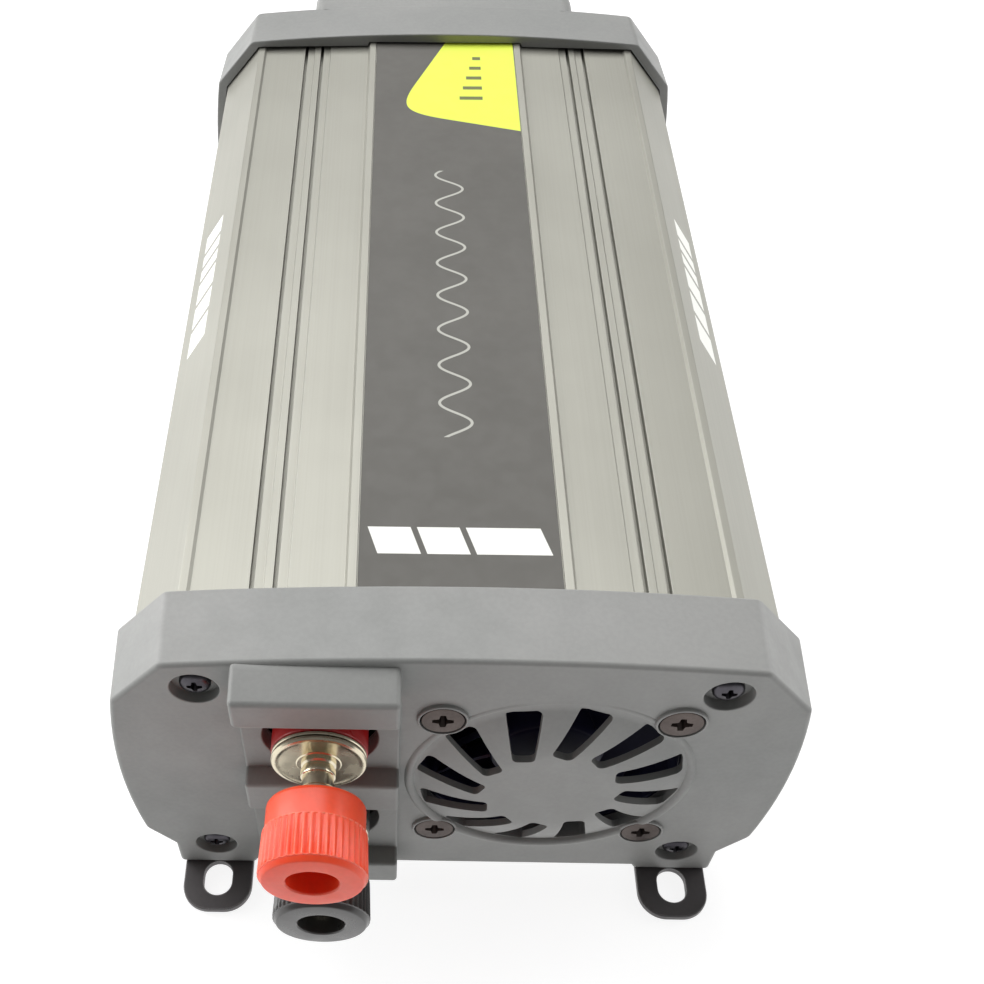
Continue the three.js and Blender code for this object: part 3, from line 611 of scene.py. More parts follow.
def wave_line(finish, x, y):
    """A thin sine wave along the label."""
    turn = TAU / WAVE["length"]
    phase = finish.math("MULTIPLY", y, turn)
    curve = finish.math("MULTIPLY", finish.math("SINE", phase), WAVE["swing"])
    slope = finish.math("MULTIPLY", finish.math("COSINE", phase), WAVE["swing"] * turn)
    steepness = finish.math("SQRT", finish.math("ADD", finish.math("MULTIPLY", slope, slope), 1.0))
    distance = finish.math("DIVIDE", finish.math("SUBTRACT", x, curve), steepness)
    on_line = within(finish, distance, 0.0, WAVE["half_line"])
    length = WAVE["end"] - WAVE["start"]
    centre = FRONT + (WAVE["start"] + WAVE["end"]) / 2
    return both(finish, on_line, within(finish, y, centre, length / 2))


def lime_patch(finish, x, y):
    """The coloured corner at the AC end, between two slanted edges that meet in a rounded corner."""
    corner_y = FRONT + LIME_CORNER.y
    across = finish.math("SUBTRACT", x, LIME_CORNER.x)
    below = finish.math("SUBTRACT", corner_y, sheared(finish, y, across, LIME_LEAN))
    left = finish.math("MULTIPLY", finish.math("SUBTRACT", y, corner_y), LIME_RISE)
    left = finish.math("SUBTRACT", left, across)
    outside = finish.math("SMOOTH_MAX", below, left, LIME_ROUNDING)
    return finish.math("SUBTRACT", 1.0, beyond(finish, outside, 0.0))


def level_bars(finish, x, y):
    """A row of thin bars of rising height inside the coloured corner."""
    masks = None
    for i in range(BARS["count"]):
        height = BARS["shortest"] + BARS["growth"] * i
        bar = both(
            finish,
            within(finish, y, FRONT + BARS["start"] - BARS["pitch"] * i, BARS["half"]),
            within(finish, x, BARS["side"] - height / 2, height / 2),
        )
        masks = bar if masks is None else finish.math("MAXIMUM", masks, bar)
    return masks


def split(finish, band, along, gaps, half):
    """A band with narrow gaps in it."""
    for gap in gaps:
        band = both(finish, band, finish.math("SUBTRACT", 1.0, within(finish, along, gap, half)))
    return band


def white_band(finish, x, y):
    """A slanted white band across the label, split by two gaps."""
    leaning = sheared(finish, x, y, BAND["slope"])
    place_y = FRONT + BAND["place"]
    centre = BAND["slope"] * place_y
    lengthways = within(finish, y, place_y, BAND["half"])
    band = both(finish, lengthways, within(finish, leaning, centre, BAND["half_length"]))
    return split(finish, band, leaning, [centre + gap for gap in BAND["gaps"]], BAND["half_gap"])


def label_film():
    finish = Finish("label_film", coat_weight=0.08, coat_roughness=0.4)
    x, y, _ = finish.axes()
    colour = finish.mix(finish.span(finish.noise(30, 2), 0.3, 0.7), *map(rgb, LABEL_GREY))
    colour = finish.mix(finish.math("MULTIPLY", finish.noise(0.25, 2), 0.05), colour, (0, 0, 0, 1))
    colour = finish.mix(finish.math("MULTIPLY", wave_line(finish, x, y), 0.75), colour, rgb(0xC9C9C0))
    colour = finish.mix(white_band(finish, x, y), colour, rgb(PRINT_WHITE))
    colour = finish.mix(lime_patch(finish, x, y), colour, rgb(LIME))
    colour = finish.mix(level_bars(finish, x, y), colour, rgb(0x6C7040))
    finish.set(base_color=colour, roughness=finish.span(finish.noise(3, 3), 0.3, 0.7, 0.52, 0.6))
    return finish.raise_by(finish.noise(0.3, 2), 0.004).raise_by(finish.noise(14, 2), 0.02).done()


SIDE_MARK = {"centre": 105.5, "half": 20.5, "middle_x": 52.9, "half_x": 1.9, "slope": 0.8}
SIDE_GAPS = (-12.0, -4.0, 4.0, 9.0, 14.0)
SIDE_HALF_GAP = 0.7


def side_marks(finish, x, y, z):
    """Slanted white bars printed on the two chamfered sides of the housing."""
    outward = finish.math("ABSOLUTE", x)
    leaning = sheared(finish, y, outward, SIDE_MARK["slope"])
    centre = FRONT + SIDE_MARK["centre"] + SIDE_MARK["slope"] * SIDE_MARK["middle_x"]
    band = both(
        finish,
        within(finish, leaning, centre, SIDE_MARK["half"]),
        within(finish, outward, SIDE_MARK["middle_x"], SIDE_MARK["half_x"]),
    )
    band = both(finish, band, beyond(finish, z, MIDDLE))
    return split(finish, band, leaning, [centre + gap for gap in SIDE_GAPS], SIDE_HALF_GAP)


def anodised():
    """Bead-blasted and anodised extrusion, with faint die lines along it and two printed side marks."""
    finish = Finish("anodised_aluminium")
    x, y, z = finish.axes()
    lines = finish.noise(0.35, 3, (1, 260, 1))
    cloud = finish.span(finish.noise(45, 3), 0.3, 0.7)
    colour = finish.mix(cloud, rgb(0x9A9990), rgb(0xA1A097))
    streaks = finish.math("MULTIPLY", finish.span(lines, 0.35, 0.75), 0.045)
    colour = finish.mix(streaks, colour, rgb(0x6B6963))
    colour = finish.mix(finish.math("MULTIPLY", finish.edges(0.3), 0.25), colour, rgb(0xD8D8D4))
    marks = side_marks(finish, x, y, z)
    finish.set(base_color=finish.mix(marks, colour, rgb(PRINT_WHITE)))
    finish.set(metallic=finish.math("MULTIPLY", finish.math("SUBTRACT", 1.0, marks), 0.5))
    finish.set(roughness=finish.span(lines, 0.3, 0.7, 0.44, 0.47))
    return finish.raise_by(lines, 0.0012).raise_by(finish.noise(0.2, 2), 0.004).done()


TRANSLUCENT = {"subsurface_weight": 0.45, "subsurface_scale": 0.004}
FINISHES = {
    "cap_plastic": moulded("cap_plastic", 0x8D8E8C, 0x959593, 0.5),
    "housing_metal": anodised(),
    "label_film": label_film(),
    "bracket_steel": moulded("bracket_paint", 0x4E4B4C, 0x5A5758, 0.42, grain=0.25, worn=0.3, metallic=0.3),
    "screw_steel": metal("screw_steel", 0x3E3C41, 0x545257, 0.3),
    "dark_screw_steel": metal("dark_screw_steel", 0x4E4643, 0x625955, 0.4),
    "fan_plastic": moulded("fan_plastic", 0x262640, 0x30304C, 0.4),
    "red_plastic": gloss("red_plastic", 0xEF4C27, 0xF5562F, 0.38, **TRANSLUCENT),
    # The red insulator gets a darker copy of the knobs' red plastic: painted shade for the shadow under the
    # hood.
    "red_insulator": gloss("deep_red_plastic", 0xB81C1E, 0xC42425, 0.3),
    "black_plastic": gloss("black_plastic", 0x3A3938, 0x444342, 0.3, coat_weight=0.3, coat_roughness=0.2),
    "nickel": metal("nickel", 0xDFD5BC, 0xE6DCC4, 0.2, grain=5, depth=0),
    "brass": metal("brass", 0xA9853F, 0xC9A45C, 0.26),
    "board_laminate": gloss("board_laminate", 0x14472A, 0x1C5A36, 0.35),
    "ferrite": moulded("ferrite", 0x29292B, 0x37373A, 0.75, grain=0.5, depth=0.02),
    "winding": moulded("winding_tape", 0xB98F1E, 0xD0A62C, 0.5, grain=1.2, depth=0.02),
    "capacitor_can": gloss("capacitor_sleeve", 0x222A45, 0x2E3756, 0.3),
    "copper": metal("copper", 0x9C5630, 0xC07445, 0.28, lay=(1, 14, 1)),
    "socket_plastic": moulded("socket_plastic", 0x1D1D1F, 0x262628, 0.45),
    "fuse_plastic": gloss("fuse_plastic", 0xD9761D, 0xE88A2B, 0.2, subsurface_weight=0.3),
    "green_lens": gloss("green_lens", 0x2EA558, 0x3CC069, 0.12, subsurface_weight=0.3),
}


# Case.


BULGE_STEPS = 12


def bezier(start, control, end):
    start, control, end = Vector(start), Vector(control), Vector(end)
    shares = [k / BULGE_STEPS for k in range(BULGE_STEPS + 1)]
    return [start * (1 - t) ** 2 + control * 2 * t * (1 - t) + end * t ** 2 for t in shares]


def flank(hip, bulge, shoulder):
    """The bulging side between hip and shoulder, both of which may have a radius."""
    between = bezier(hip[:2], (bulge, MIDDLE), shoulder[:2])[1:-1]
    return [hip, *[tuple(point) for point in between], shoulder]


def cap_outline():
    half, edge = CAP_CORNER[:2]
    crown = [half * (1 - k / 14) for k in range(1, 15)]
    top = [(x, CAP_TOP - (CAP_TOP - edge) * (x / half) ** 2) for x in crown[:-1]]
    side = flank(CAP_HIP, CAP_BULGE, CAP_SHOULDER)
    right = [*reversed(CAP_FOOT), *side, CAP_CORNER, *top]
    return fillet(both_sides(right))


def housing_side(gap=0.0):
    """The lower right of the housing's outline, up to the shoulder, and moved out by a gap."""
    foot_x = 53 + gap
    drop = 0.3 * gap
    hip = (57.6 + gap, 17.2 - drop, 2.0)
    shoulder = (56.8 + gap, 61.3 + drop, 1.6)
    return [(foot_x, 5 - gap, 0.5), (foot_x, 10.6 - drop, 1.0), *flank(hip, 60.9 + gap, shoulder)]


def pocket_outline():
    """The inside of a cap, which fits round the housing."""
    return fillet(both_sides([*housing_side(gap=0.3), (47.7, 72.3), (19.8, 72.8), (19.3, 73.8)]))


def drafted(mesh):
    """Widens a cap slightly towards its skirt."""
    for vertex in mesh.vertices:
        vertex.co.x *= 1 + CAP_DRAFT * vertex.co.y / CAP_LENGTH
    return mesh


def corners():
    """The four cap screws, as x, z."""
    return [(side * x, z) for x, z in CAP_SCREWS.values() for side in (-1, 1)]


def cap_shell():
    blank = drafted(prism(cap_outline(), 0, CAP_LENGTH, front=CAP_EDGE, back=0.4))
    hollow = prism(pocket_outline(), CAP_WALL, CAP_LENGTH + 1)
    screw_x, screw_z = CAP_SCREWS["top"]
    bosses = [rod(SCREW_CHANNEL_RADIUS, (x, screw_z), 1, 4.8) for x in (-screw_x, screw_x)]
    shell = joined(cut(blank, hollow), *bosses)
    radius, floor = COUNTERBORE
    holes = []
    for at in corners():
        holes += [sunk(radius, at, floor), rod(SCREW_RADIUS + SCREW_CLEARANCE, at, 1, 6)]
    notches = []
    for x in (-BRACKET_X, BRACKET_X):
        notches.append(block(x - NOTCH_HALF, x + NOTCH_HALF, CAP_WALL, NOTCH_BACK, 0, NOTCH_TOP))
    return cut(shell, *holes, *notches)


def swirl(radius, degrees, turn):
    """A point round the fan's middle, clockwise from its top."""
    angle = math.radians(degrees) + turn
    return Vector((FAN[0] + radius * math.sin(angle), FAN[1] + radius * math.cos(angle)))


def grille_slot(turn):
    """One slot's outline: its inner end lags its outer end."""
    inner, outer = swirl(*SLOT_INNER[:2], turn), swirl(*SLOT_OUTER[:2], turn)
    across = (outer - inner).normalized().orthogonal()
    ends = [(inner, SLOT_INNER[2]), (outer, SLOT_OUTER[2])]
    right = [(*(end - across * half), SLOT_CORNER) for end, half in ends]
    left = [(*(end + across * half), SLOT_CORNER) for end, half in reversed(ends)]
    outline = fillet([*right, *left], 6)
    centre = Vector(FAN)
    return [centre + (p - centre) * min(1, SLOT_REACH / (p - centre).length) for p in outline]


def dome_profile(edge, offset, back):
    """A flat middle that falls away to the edge, in front of a flat back."""
    start = DOME_FLAT * 0.7
    slope = []
    for k in range(DOME_STEPS + 1):
        radius = start + (edge - start) * k / DOME_STEPS
        share = max(0.0, (radius - DOME_FLAT) / (DOME_RADIUS - DOME_FLAT))
        slope.append((radius, -DOME_HEIGHT + offset + (DOME_HEIGHT + DOME_EDGE) * share ** 1.6))
    return [(0, -DOME_HEIGHT + offset), *slope, (edge, back), (0, back)]


def bead():
    """The rounded rim round the dome, prouder of the panel at the bottom than at the top."""
    crest = [(24.5, -0.15), (24.9, -0.5), (25.35, -0.62), (25.8, -0.5), (26.15, -0.15)]
    back = [(BOSS_RADIUS, 0.3), (BOSS_RADIUS, 1.2), (BEAD_INNER, 1.2)]
    ring = turned([(BEAD_INNER, 0.4), *crest, *back], FAN, 128)
    for vertex in ring.vertices:
        vertex.co.y += BEAD_LEAN * (vertex.co.z - FAN[1])
    return ring


def fan_screw_places():
    half = FAN_PITCH / 2
    x, z = FAN
    return [(x - half, z - half), (x + half, z - half), (x + half, z + half), (x - half, z + half)]


def with_grille(shell):
    """Adds the domed fan grille, and the lobes and seats of its four screws."""
    raised = [
        bead(),
        turned(dome_profile(DOME_RADIUS, 0, 1), FAN, 128),
        *[prism(circle(LOBE_RADIUS, at, 56), -BOSS_HEIGHT, 1, front=0.3) for at in fan_screw_places()],
    ]
    hollow = turned(dome_profile(DOME_RADIUS - 0.6, DOME_WALL, CAP_WALL + 1), FAN, 128)
    slots = [prism(grille_slot(TAU * k / SLOTS), -5, 6) for k in range(SLOTS)]
    seats = [sunk(3.95, at, 0.9, -BOSS_HEIGHT, 0.12, 0.6) for at in fan_screw_places()]
    pilots = [rod(2.4, at, 0, CAP_WALL + 1) for at in fan_screw_places()]
    return cut(joined(shell, *raised), hollow, *slots, *seats, *pilots)


def gap_round_post(z):
    """A cutter for the two curved gaps beside an insulator, which leaves its seat held above and below."""
    inner, outer = POST_GAP
    ring = turned([(inner, 1), (outer, 1), (outer, 4), (inner, 4)], (POST_X, z), 96)
    reach = POST_HOLE_RADIUS + 1
    bridge = block(POST_X - POST_BRIDGE_HALF, POST_X + POST_BRIDGE_HALF, 0, 5, z - reach, z + reach)
    return cut(ring, bridge)


def with_terminal_block(shell):
    """Adds the pad, shelves and hood round the binding posts, and the posts' recesses."""
    left, right = POST_X - BLOCK_HALF, POST_X + BLOCK_HALF
    raised = [block(left, right, -PAD_PROUD, 1.5, SHELVES[0][0], 63.8, 0.4)]
    raised += [block(left, right, -SHELF_PROUD, 1.5, z0, z1, 0.7) for z0, z1 in SHELVES]
    raised.append(side_prism(HOOD_SIDE, left, right, 0.9))
    centres = [(POST_X, z) for z in POSTS.values()]
    holes = [sunk(POST_HOLE_RADIUS, at, POST_HOLE_DEPTH, -PAD_PROUD, 0.3, 1.0) for at in centres]
    holes += [rod(POST_NECK_HOLE, at, 0, CAP_WALL + 1) for at in centres]
    holes += [gap_round_post(z) for z in POSTS.values()]
    return cut(joined(shell, *raised), *holes)


def vent_slots():
    slots = []
    for x in (-VENT_X, VENT_X):
        for z in VENTS:
            slots.append(prism(rectangle(x - VENT_HALF, x + VENT_HALF, z, z + VENT_HEIGHT, 1.0), -2, 5))
    return slots


def with_outlet_block(shell):
    """Adds the raised outlet block and the openings of the AC end, drawn with the outside towards -Y."""
    outlet = prism(rectangle(-OUTLET_HALF, OUTLET_HALF, *OUTLET_SPAN, 3.0), -OUTLET_PROUD, 1, front=1.0)
    x, z = SWITCH
    half_x, half_z = SWITCH_OPENING
    openings = [
        rod(SOCKET_HOLE, (0, SOCKET_Z), -OUTLET_PROUD - 1, CAP_LENGTH, 96),
        block(x - half_x, x + half_x, -2, 5, z - half_z, z + half_z),
        *[rod(INDICATOR_HOLE, (INDICATOR_X, height), -2, 5) for height in INDICATORS.values()],
        *vent_slots(),
    ]
    return cut(joined(shell, outlet), *openings)


GROOVES = (31.3, 35.3)


def housing_outline():
    """The extrusion's outline, with a label recess, ridges and two pairs of fine grooves."""
    top = [(47.5, 71.9, 0.4), (46.1, 72.0, 0.3), (45.6, 71.5, 0.15)]
    for x in reversed(GROOVES):
        z = 72.5 - (x - 19) / 27
        top += [(x + 0.35, z, 0.08), (x + 0.35, z - 1.6), (x - 0.4, z - 1.6), (x - 0.4, z - 0.2, 0.08)]
        top += [(x - 2.0, z - 0.2, 0.06), (x - 2.3, z + 0.1, 0.06)]
    top += [(19.5, 72.5, 0.15), (19.0, 73.5, 0.15), (17.5, 73.5, 0.12), (17.5, 73.05)]
    return fillet(both_sides([*housing_side(), *top]), 4)


def housing():
    """The hollow extrusion, with four screw channels and the rails that hold the board."""
    y0, y1 = HOUSING_INSET, CASE_LENGTH - HOUSING_INSET
    side = [(51, 7.2), (51, 11.4), *flank((55.6, 17.6), 58.8, (54.6, 60.2)), (45.6, 69.6)]
    cavity = prism(fillet(both_sides(side)), y0 - 1, y1 + 1)
    channels = [rod(SCREW_CHANNEL_RADIUS, at, y0, y1) for at in corners()]
    rails = []
    for sign in (-1, 1):
        for z0, z1, reach in ((13.6, 14.8, 54.5), (16.8, 18, 56)):
            xs = sorted((sign * 50, sign * reach))
            rails.append(block(*xs, y0, y1, z0, z1))
    pilots = [rod(SCREW_RADIUS + 0.2, at, y0 - 1, y1 + 1) for at in corners()]
    shell = cut(prism(housing_outline(), y0, y1), cavity)
    return cut(joined(shell, *channels, *rails), *pilots)


# Screws, with their heads towards -Y.
DOMED_STEPS = 6


def cross(size, centre):
    """A cross-head recess: four arms with filleted inner corners."""
    thin = size * 0.25
    arms = []
    for turn in range(4):
        rotate = Matrix.Rotation(turn * math.pi / 2, 2)
        for x, z, radius in ((size, -thin, 0.1), (size, thin, 0.1), (thin * 1.5, thin * 1.5, 0.25)):
            arms.append((*(Vector(centre) + rotate @ Vector((x, z))), radius))
    return fillet(arms, 3)


def domed(radius, y, height):
    """A shallow dome's profile, from its axis to its rim."""
    shares = [math.sin(math.pi / 2 * k / DOMED_STEPS) for k in range(DOMED_STEPS + 1)]
    return [(radius * s, y + height * (1 - math.sqrt(1 - s * s))) for s in shares]


def pan_head_screw(at):
    seat = COUNTERBORE[1] - 0.1
    head = [*domed(CAP_HEAD_RADIUS, 0.32, 1.0), (CAP_HEAD_RADIUS, seat)]
    shank = [(SCREW_RADIUS, seat), (SCREW_RADIUS, 17), (0, 18)]
    return cut(turned([*head, *shank], at, 48), tapered(cross(1.75, at), at, -0.5, 1.5, 0.45))


def flat_head_screw(at):
    y = -BOSS_HEIGHT + 0.06
    face = [(0, y), (1.2, y), (3.45, y + 0.03), (3.62, y + 0.1)]
    rim = [(FAN_HEAD_RADIUS, y + 0.25), (3.66, y + 0.45)]
    shank = [(2.1, 0.8), (2.1, 14.4), (1.6, 15), (0, 15)]
    return cut(turned([*face, *rim, *shank], at, 56), tapered(cross(2.3, at), at, -1.5, 1.0, 0.4))


# Mounting brackets, with their feet towards -Y.


def level(outline, z0, z1, edge=0.0):
    """An outline of (x, -y) points along Z."""
    mesh = prism(outline, z0, z1, front=edge, back=edge)
    mesh.transform(Matrix.Rotation(math.pi / 2, 4, "X"))
    return mesh


def bracket(x):
    """A slotted foot plate, bent up behind the cap's front wall."""
    left, right = x - BRACKET_HALF, x + BRACKET_HALF
    corner = (BRACKET_REACH, BRACKET_CORNER)
    foot = fillet([(left, -BRACKET_BACK), (right, -BRACKET_BACK), (right, *corner), (left, *corner)], 14)
    radius, slot_end, slot_start = BRACKET_SLOT
    slot = rectangle(x - radius, x + radius, -slot_start, -slot_end, radius * 0.99, 12)
    upright = block(left, right, BRACKET_BACK - BRACKET_THICK, BRACKET_BACK, 0.3, BRACKET_TOP, 0.25)
    screw_x, screw_z = CAP_SCREWS["bottom"]
    hole = rod(SCREW_RADIUS + SCREW_CLEARANCE, (math.copysign(screw_x, x), screw_z), 1, 6)
    plate = level(foot, 0, BRACKET_THICK, 0.25)
    return cut(joined(plate, upright), level(slot, -1, BRACKET_THICK + 1), hole)


# Fan rotor.
HUB_RADIUS = 10.5
BLADE_TIP = 22.6
BLADES = 7


def blade_section(share, thickness):
    """A blade's closed section at a share of its span: (radius, angle, y) points."""
    radius = HUB_RADIUS - 0.6 + (BLADE_TIP - HUB_RADIUS + 0.6) * share
    sweep = 0.22 * share
    pitch = math.radians(50 - 14 * share)
    chord = 10.6 + 0.8 * share
    upper, lower = [], []
    for k in range(9):
        t = k / 8
        along = (t - 0.5) * chord
        camber = 0.9 * (1 - (2 * t - 1) ** 2)
        half = thickness * (0.25 + math.sin(math.pi * min(1, t * 0.9 + 0.1)) * 0.75) / 2
        for rows, offset in ((upper, camber + half), (lower, camber - half)):
            around = (along * math.cos(pitch) - offset * math.sin(pitch)) / radius
            depth = along * math.sin(pitch) + offset * math.cos(pitch)
            rows.append((radius, around + sweep, depth))
    return [*upper, *reversed(lower)]


def fan_rotor():
    y0, y1 = low("fan_rotor").y - FRONT, high("fan_rotor").y - FRONT
    centre_y = (y0 + y1) / 2
    rim = [(9.4, y0), (10.1, y0 + 0.3), (HUB_RADIUS, y0 + 1), (HUB_RADIUS, y1)]
    hub = turned([(0, y0), *rim, (0, y1)], FAN, 72)
    blades = []
    for k in range(BLADES):
        turn = TAU * k / BLADES
        rings = []
        for share in (0, 0.25, 0.5, 0.75, 1):
            rings.append([
                (FAN[0] + r * math.cos(a + turn), centre_y + d, FAN[1] + r * math.sin(a + turn))
                for r, a, d in blade_section(share, 1.1 - 0.3 * share)
            ])
        blades.append(stacked(rings))
    return joined(hub, *blades)


# Binding posts.


def insulator(at):
    """A coloured disc that stands in the post's recess, with a neck through the cap's wall."""
    front = FLANGE_FACE + 1.9
    seat = POST_HOLE_DEPTH - 0.1
    bore, neck = 3.1, 4.9
    disc = [(bore, front), (7.9, front), (8.2, front + 0.1), (8.3, front + 0.35), (8.3, seat)]
    return turned([*disc, (neck, seat), (neck, 5), (bore, 5)], at, 96)


def thread(y):
    """A right-handed thread's radius at a depth along the stud, as a function of the angle."""

    def radius(angle):
        phase = (y / THREAD_PITCH + angle / TAU) % 1
        return STUD_RADIUS - THREAD_DEPTH * (1 - abs(2 * phase - 1))

    return radius


def stud(at):
    """A threaded post with a plain neck, a dished flange and a thinner ring behind it."""
    tip = low("red_stud").y - FRONT
    shank_end = high("red_stud").y - FRONT
    neck = FLANGE_FACE - 5.2
    count = int((neck - tip - 0.6) / THREAD_STEP)
    rows = [tip + 0.6 + k * THREAD_STEP for k in range(count)]
    face = FLANGE_FACE
    flange = [(3.7, face), (3.9, face + 0.15), (6.7, face + 0.2), (7.2, face + 0.05), (7.7, face)]
    flange += [(8.0, face + 0.1), (FLANGE_RADIUS, face + 0.45), (8.15, face + 0.85), (7.9, face + 1.05)]
    flange += [(7.3, face + 1.1), (7.3, face + 1.2), (7.95, face + 1.25), (8.1, face + 1.4)]
    flange += [(8.1, face + 1.7), (7.95, face + 1.8)]
    shank = [(STUD_RADIUS, face + 1.8), (STUD_RADIUS, shank_end - 0.5), (2.4, shank_end), (0, shank_end)]
    profile = [(0, tip), (2.1, tip), (2.4, tip + 0.3), *[(thread(y), y) for y in rows]]
    collar = [(2.5, neck), (2.7, neck + 0.3), (2.7, face - 2.6), (2.95, face - 2.5), (3.0, face - 2.35)]
    collar += [(3.0, face - 1.4), (2.95, face - 1.25), (2.7, face - 1.15), (2.7, face - 0.7)]
    collar += [(3.0, face - 0.4), (3.0, face)]
    return turned([*profile, *collar, *flange, *shank], at, 96)


def knob_insert(at, rear):
    """A round metal insert, whose nose stands out behind the knob."""
    nose = [(3.5, rear), (3.5, rear + 2.45), (3.2, rear + 2.8), (3.1, rear + 2.8)]
    return turned([(3.1, rear - 5.2), (4.4, rear - 5.2), (4.5, rear - 5.0), (4.5, rear), *nose], at, 64)


def ribbed(radius, depth):
    """A knurled radius: narrow rounded ribs."""
    return lambda angle: radius - depth * math.sin(RIBS * angle / 2) ** 2


def knob(at, front, rear):
    """A collar, a ribbed grip that widens towards the face, and a hole in the face."""
    grip = front + GRIP_LENGTH
    face = [(KNOB_BORE, front + 0.5), (4.32, front + 0.2), (4.55, front), (7.9, front), (8.1, front + 0.05)]
    lip = [(8.25, front + 0.2), (8.5, front + 0.75), (8.62, front + 0.95), (8.84, front + 1.02)]
    ribs = [(ribbed(KNOB_RADIUS, RIB_DEPTH / 4), front + 1.1)]
    for k in range(7):
        y = front + 1.3 + (grip - front - 1.5) * k / 6
        ribs.append((ribbed(KNOB_RADIUS - 0.04 * k, RIB_DEPTH - 0.05 * k), y))
    collar = [(8.6, grip), (8.35, grip + 0.02), (8.3, grip + 0.15), (8.3, rear - 1.0)]
    back = [(8.22, rear - 0.6), (8.0, rear - 0.25), (7.6, rear - 0.05), (7.1, rear), (4.7, rear)]
    pocket = [(4.7, rear - 5.4), (KNOB_BORE, rear - 5.4)]
    return turned([*face, *lip, *ribs, *collar, *back, *pocket], at, RIBS * 8)


# AC end pieces, drawn with their outside towards -Y.


def ac_socket():
    """A round well with a key at each side, two pin holes, and a slot for each earth contact."""
    back_face = -OUTLET_PROUD - 0.1
    face = -OUTLET_PROUD - 0.6
    floor = face + SOCKET_DEPTH
    back = [(0, floor + 3), (SOCKET_BODY, floor + 3), (SOCKET_BODY, back_face)]
    ring = [(23.3, back_face), (23.5, back_face - 0.15), (23.4, face + 0.1), (23.1, face), (20.4, face)]
    well = [(20.0, face + 0.12), (SOCKET_BORE, face + 0.45), (SOCKET_BORE, floor - 0.8), (19.4, floor)]
    body = turned([*back, *ring, *well, (0, floor)], (0, SOCKET_Z), 128)
    keys, pins, clips = [], [], []
    for side in (-1, 1):
        near, far = sorted(side * reach for reach in SOCKET_KEY)
        keys.append(block(near, far, face + 1.5, floor + 0.5, SOCKET_Z - 2, SOCKET_Z + 2, 0.3))
        pins.append(sunk(2.6, (side * 9.5, SOCKET_Z), floor + 4, floor, 0.5, 1.0))
        clips.append(block(-2.9, 2.9, face + 2.5, floor + 4, SOCKET_Z + near, SOCKET_Z + far, 0.2))
    return cut(joined(body, *keys), *pins, *clips)


def switch_body():
    """A bezel and a deep base with two tabs, hollow for the rocker."""
    x, z = SWITCH
    half_x, half_z = SWITCH_BASE
    bezel = prism(rectangle(x - 7.5, x + 7.5, z - 10.5, z + 10.5, 1.5), -2, -0.1, front=0.6)
    base = block(x - half_x, x + half_x, -1, 15, z - half_z, z + half_z)
    tabs = [block(x - 2.4, x + 2.4, 14, 22, z + dz - 0.4, z + dz + 0.4) for dz in (-6, 0)]
    cavity = block(x - 5.3, x + 5.3, -3, 6.5, z - 8.9, z + 8.9)
    return cut(joined(bezel, base, *tabs), cavity)


def indicator(z):
    """A small domed lens on a stem."""
    lens = domed(2.3, -2.0, 1.3)
    return turned([*lens, (2.5, -0.5), (2.5, 3.2), (2.9, 3.2), (2.9, 9), (0, 9)], (INDICATOR_X, z), 48)


# Putting the pieces in place.


def build_case():
    shell = cap_shell()
    put("front_cap", with_terminal_block(with_grille(shell.copy())), FRONT_END)
    put("rear_cap", with_outlet_block(shell), REAR_END)
    put("housing", housing(), FRONT_END)


def build_screws():
    for side, sign in (("left", -1), ("right", 1)):
        for row, (x, z) in CAP_SCREWS.items():
            put(f"front_screw_{row}_{side}", pan_head_screw((sign * x, z)), FRONT_END)
            put(f"rear_screw_{row}_{side}", pan_head_screw((-sign * x, z)), REAR_END)
    for i, at in enumerate(fan_screw_places()):
        put(f"fan_screw_{i + 1}", flat_head_screw(at), FRONT_END)


def build_brackets():
    for side, sign in (("left", -1), ("right", 1)):
        put(f"front_bracket_{side}", bracket(sign * BRACKET_X), FRONT_END)
        put(f"rear_bracket_{side}", bracket(-sign * BRACKET_X), REAR_END)


def build_posts():
    for colour, z in POSTS.items():
        at = (POST_X, z)
        knob_span = (low(f"{colour}_knob").y - FRONT, high(f"{colour}_knob").y - FRONT)
        put(f"{colour}_insulator", insulator(at), FRONT_END)
        put(f"{colour}_stud", stud(at), FRONT_END)
        put(f"{colour}_knob_insert", knob_insert(at, knob_span[1]), FRONT_END)
        put(f"{colour}_knob", knob(at, *knob_span), FRONT_END)


def build_ac_end():
    put("ac_socket", ac_socket(), REAR_END)
    put("switch_body", switch_body(), REAR_END)
    for name, z in INDICATORS.items():
        put(name, indicator(z), REAR_END)


build_case()
build_screws()
build_brackets()
put("fan_rotor", fan_rotor(), FRONT_END)
build_posts()
build_ac_end()
for node in frame["nodes"]:
    if not frame["nodes"][node].hide_render:
        keep(node)


# Floor, light and camera.


FLOOR_HALF = 30.0
FLOOR_DROP = 0.0003
FLOOR_GLOW = 0.86


def lit_table():
    """A plain white table top, lit evenly from below as well as from above."""
    finish = Finish("table_top", base_color=(0.3, 0.3, 0.3, 1), roughness=0.9)
    finish.set(emission_color=(1, 1, 1, 1), emission_strength=FLOOR_GLOW)
    return finish.raise_by(finish.noise(4, 2), 0.01).done()


def stage_floor():
    half = FLOOR_HALF
    mesh = bpy.data.meshes.new("floor")
    points = [(-half, -half, 0), (half, -half, 0), (half, half, 0), (-half, half, 0)]
    mesh.from_pydata(points, [], [(0, 1, 2, 3)])
    mesh.materials.append(lit_table())
    floor = bpy.data.objects.new("floor", mesh)
    floor.location.z = -FLOOR_DROP
    bpy.context.scene.collection.objects.link(floor)


LIT_POINT = Vector((0, 0, 0.03))


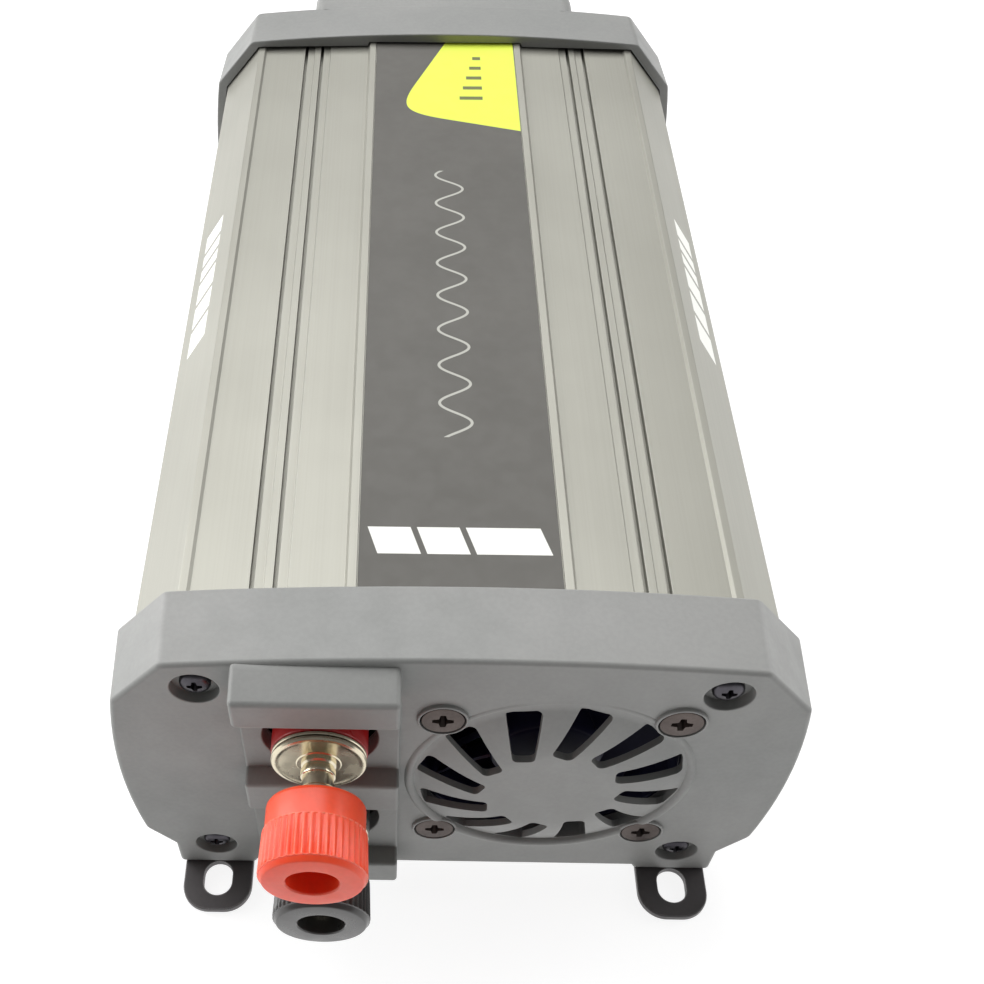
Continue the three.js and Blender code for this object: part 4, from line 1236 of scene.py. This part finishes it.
def softbox(name, place_at, width, height, power):
    """A rectangular area light aimed at the object."""
    light = bpy.data.lights.new(name, "AREA")
    light.shape = "RECTANGLE"
    light.size, light.size_y = width, height
    light.energy = power
    made = bpy.data.objects.new(name, light)
    made.location = place_at
    made.rotation_euler = (LIT_POINT - Vector(place_at)).to_track_quat("-Z", "Y").to_euler()
    bpy.context.scene.collection.objects.link(made)


def world_light(light, backdrop):
    """A dim even light from all round, and a plain pale backdrop behind the table."""
    world = bpy.data.worlds.new("studio")
    world.use_nodes = True
    tree = world.node_tree
    seen = tree.nodes.new("ShaderNodeLightPath").outputs["Is Camera Ray"]
    strength = tree.nodes.new("ShaderNodeMapRange")
    tree.links.new(seen, strength.inputs["Value"])
    strength.inputs["To Min"].default_value = light
    strength.inputs["To Max"].default_value = backdrop
    tree.nodes["Background"].inputs["Color"].default_value = (1.0, 1.0, 1.0, 1)
    tree.links.new(strength.outputs[0], tree.nodes["Background"].inputs["Strength"])
    bpy.context.scene.world = world


CAMERA = {
    "place": (-0.01134, -0.20121, 0.23046),
    "pitch": 53.04,
    "yaw": -1.17,
    "roll": -0.155,
    "lens": 43.6,
    "shift": (0.1157, 0.1168),
}


def studio_camera():
    """Looks down at the DC end, slightly off its middle."""
    pitch, yaw, roll = (math.radians(CAMERA[k]) for k in ("pitch", "yaw", "roll"))
    forward = Vector((math.sin(yaw) * math.cos(pitch), math.cos(yaw) * math.cos(pitch), -math.sin(pitch)))
    right = Vector((math.cos(yaw), -math.sin(yaw), 0))
    up = right.cross(forward)
    turned_right = right * math.cos(roll) + up * math.sin(roll)
    turned_up = up * math.cos(roll) - right * math.sin(roll)
    data = bpy.data.cameras.new("camera")
    data.sensor_width = 36
    data.lens = CAMERA["lens"]
    data.shift_x, data.shift_y = CAMERA["shift"]
    data.clip_start = 0.01
    camera = bpy.data.objects.new("camera", data)
    camera.matrix_world = Matrix((turned_right, turned_up, -forward)).transposed().to_4x4()
    camera.location = CAMERA["place"]
    bpy.context.scene.collection.objects.link(camera)
    bpy.context.scene.camera = camera


stage_floor()
world_light(light=0.16, backdrop=0.9)
softbox("overhead", (-0.4, 0.95, 1.75), width=2.4, height=1.6, power=43)
softbox("left", (-2.1, 0.7, 0.8), width=1.8, height=1.6, power=46)
softbox("right", (2.1, 0.7, 0.8), width=1.8, height=1.6, power=26)
studio_camera()
bpy.context.scene.view_settings.view_transform = "Standard"
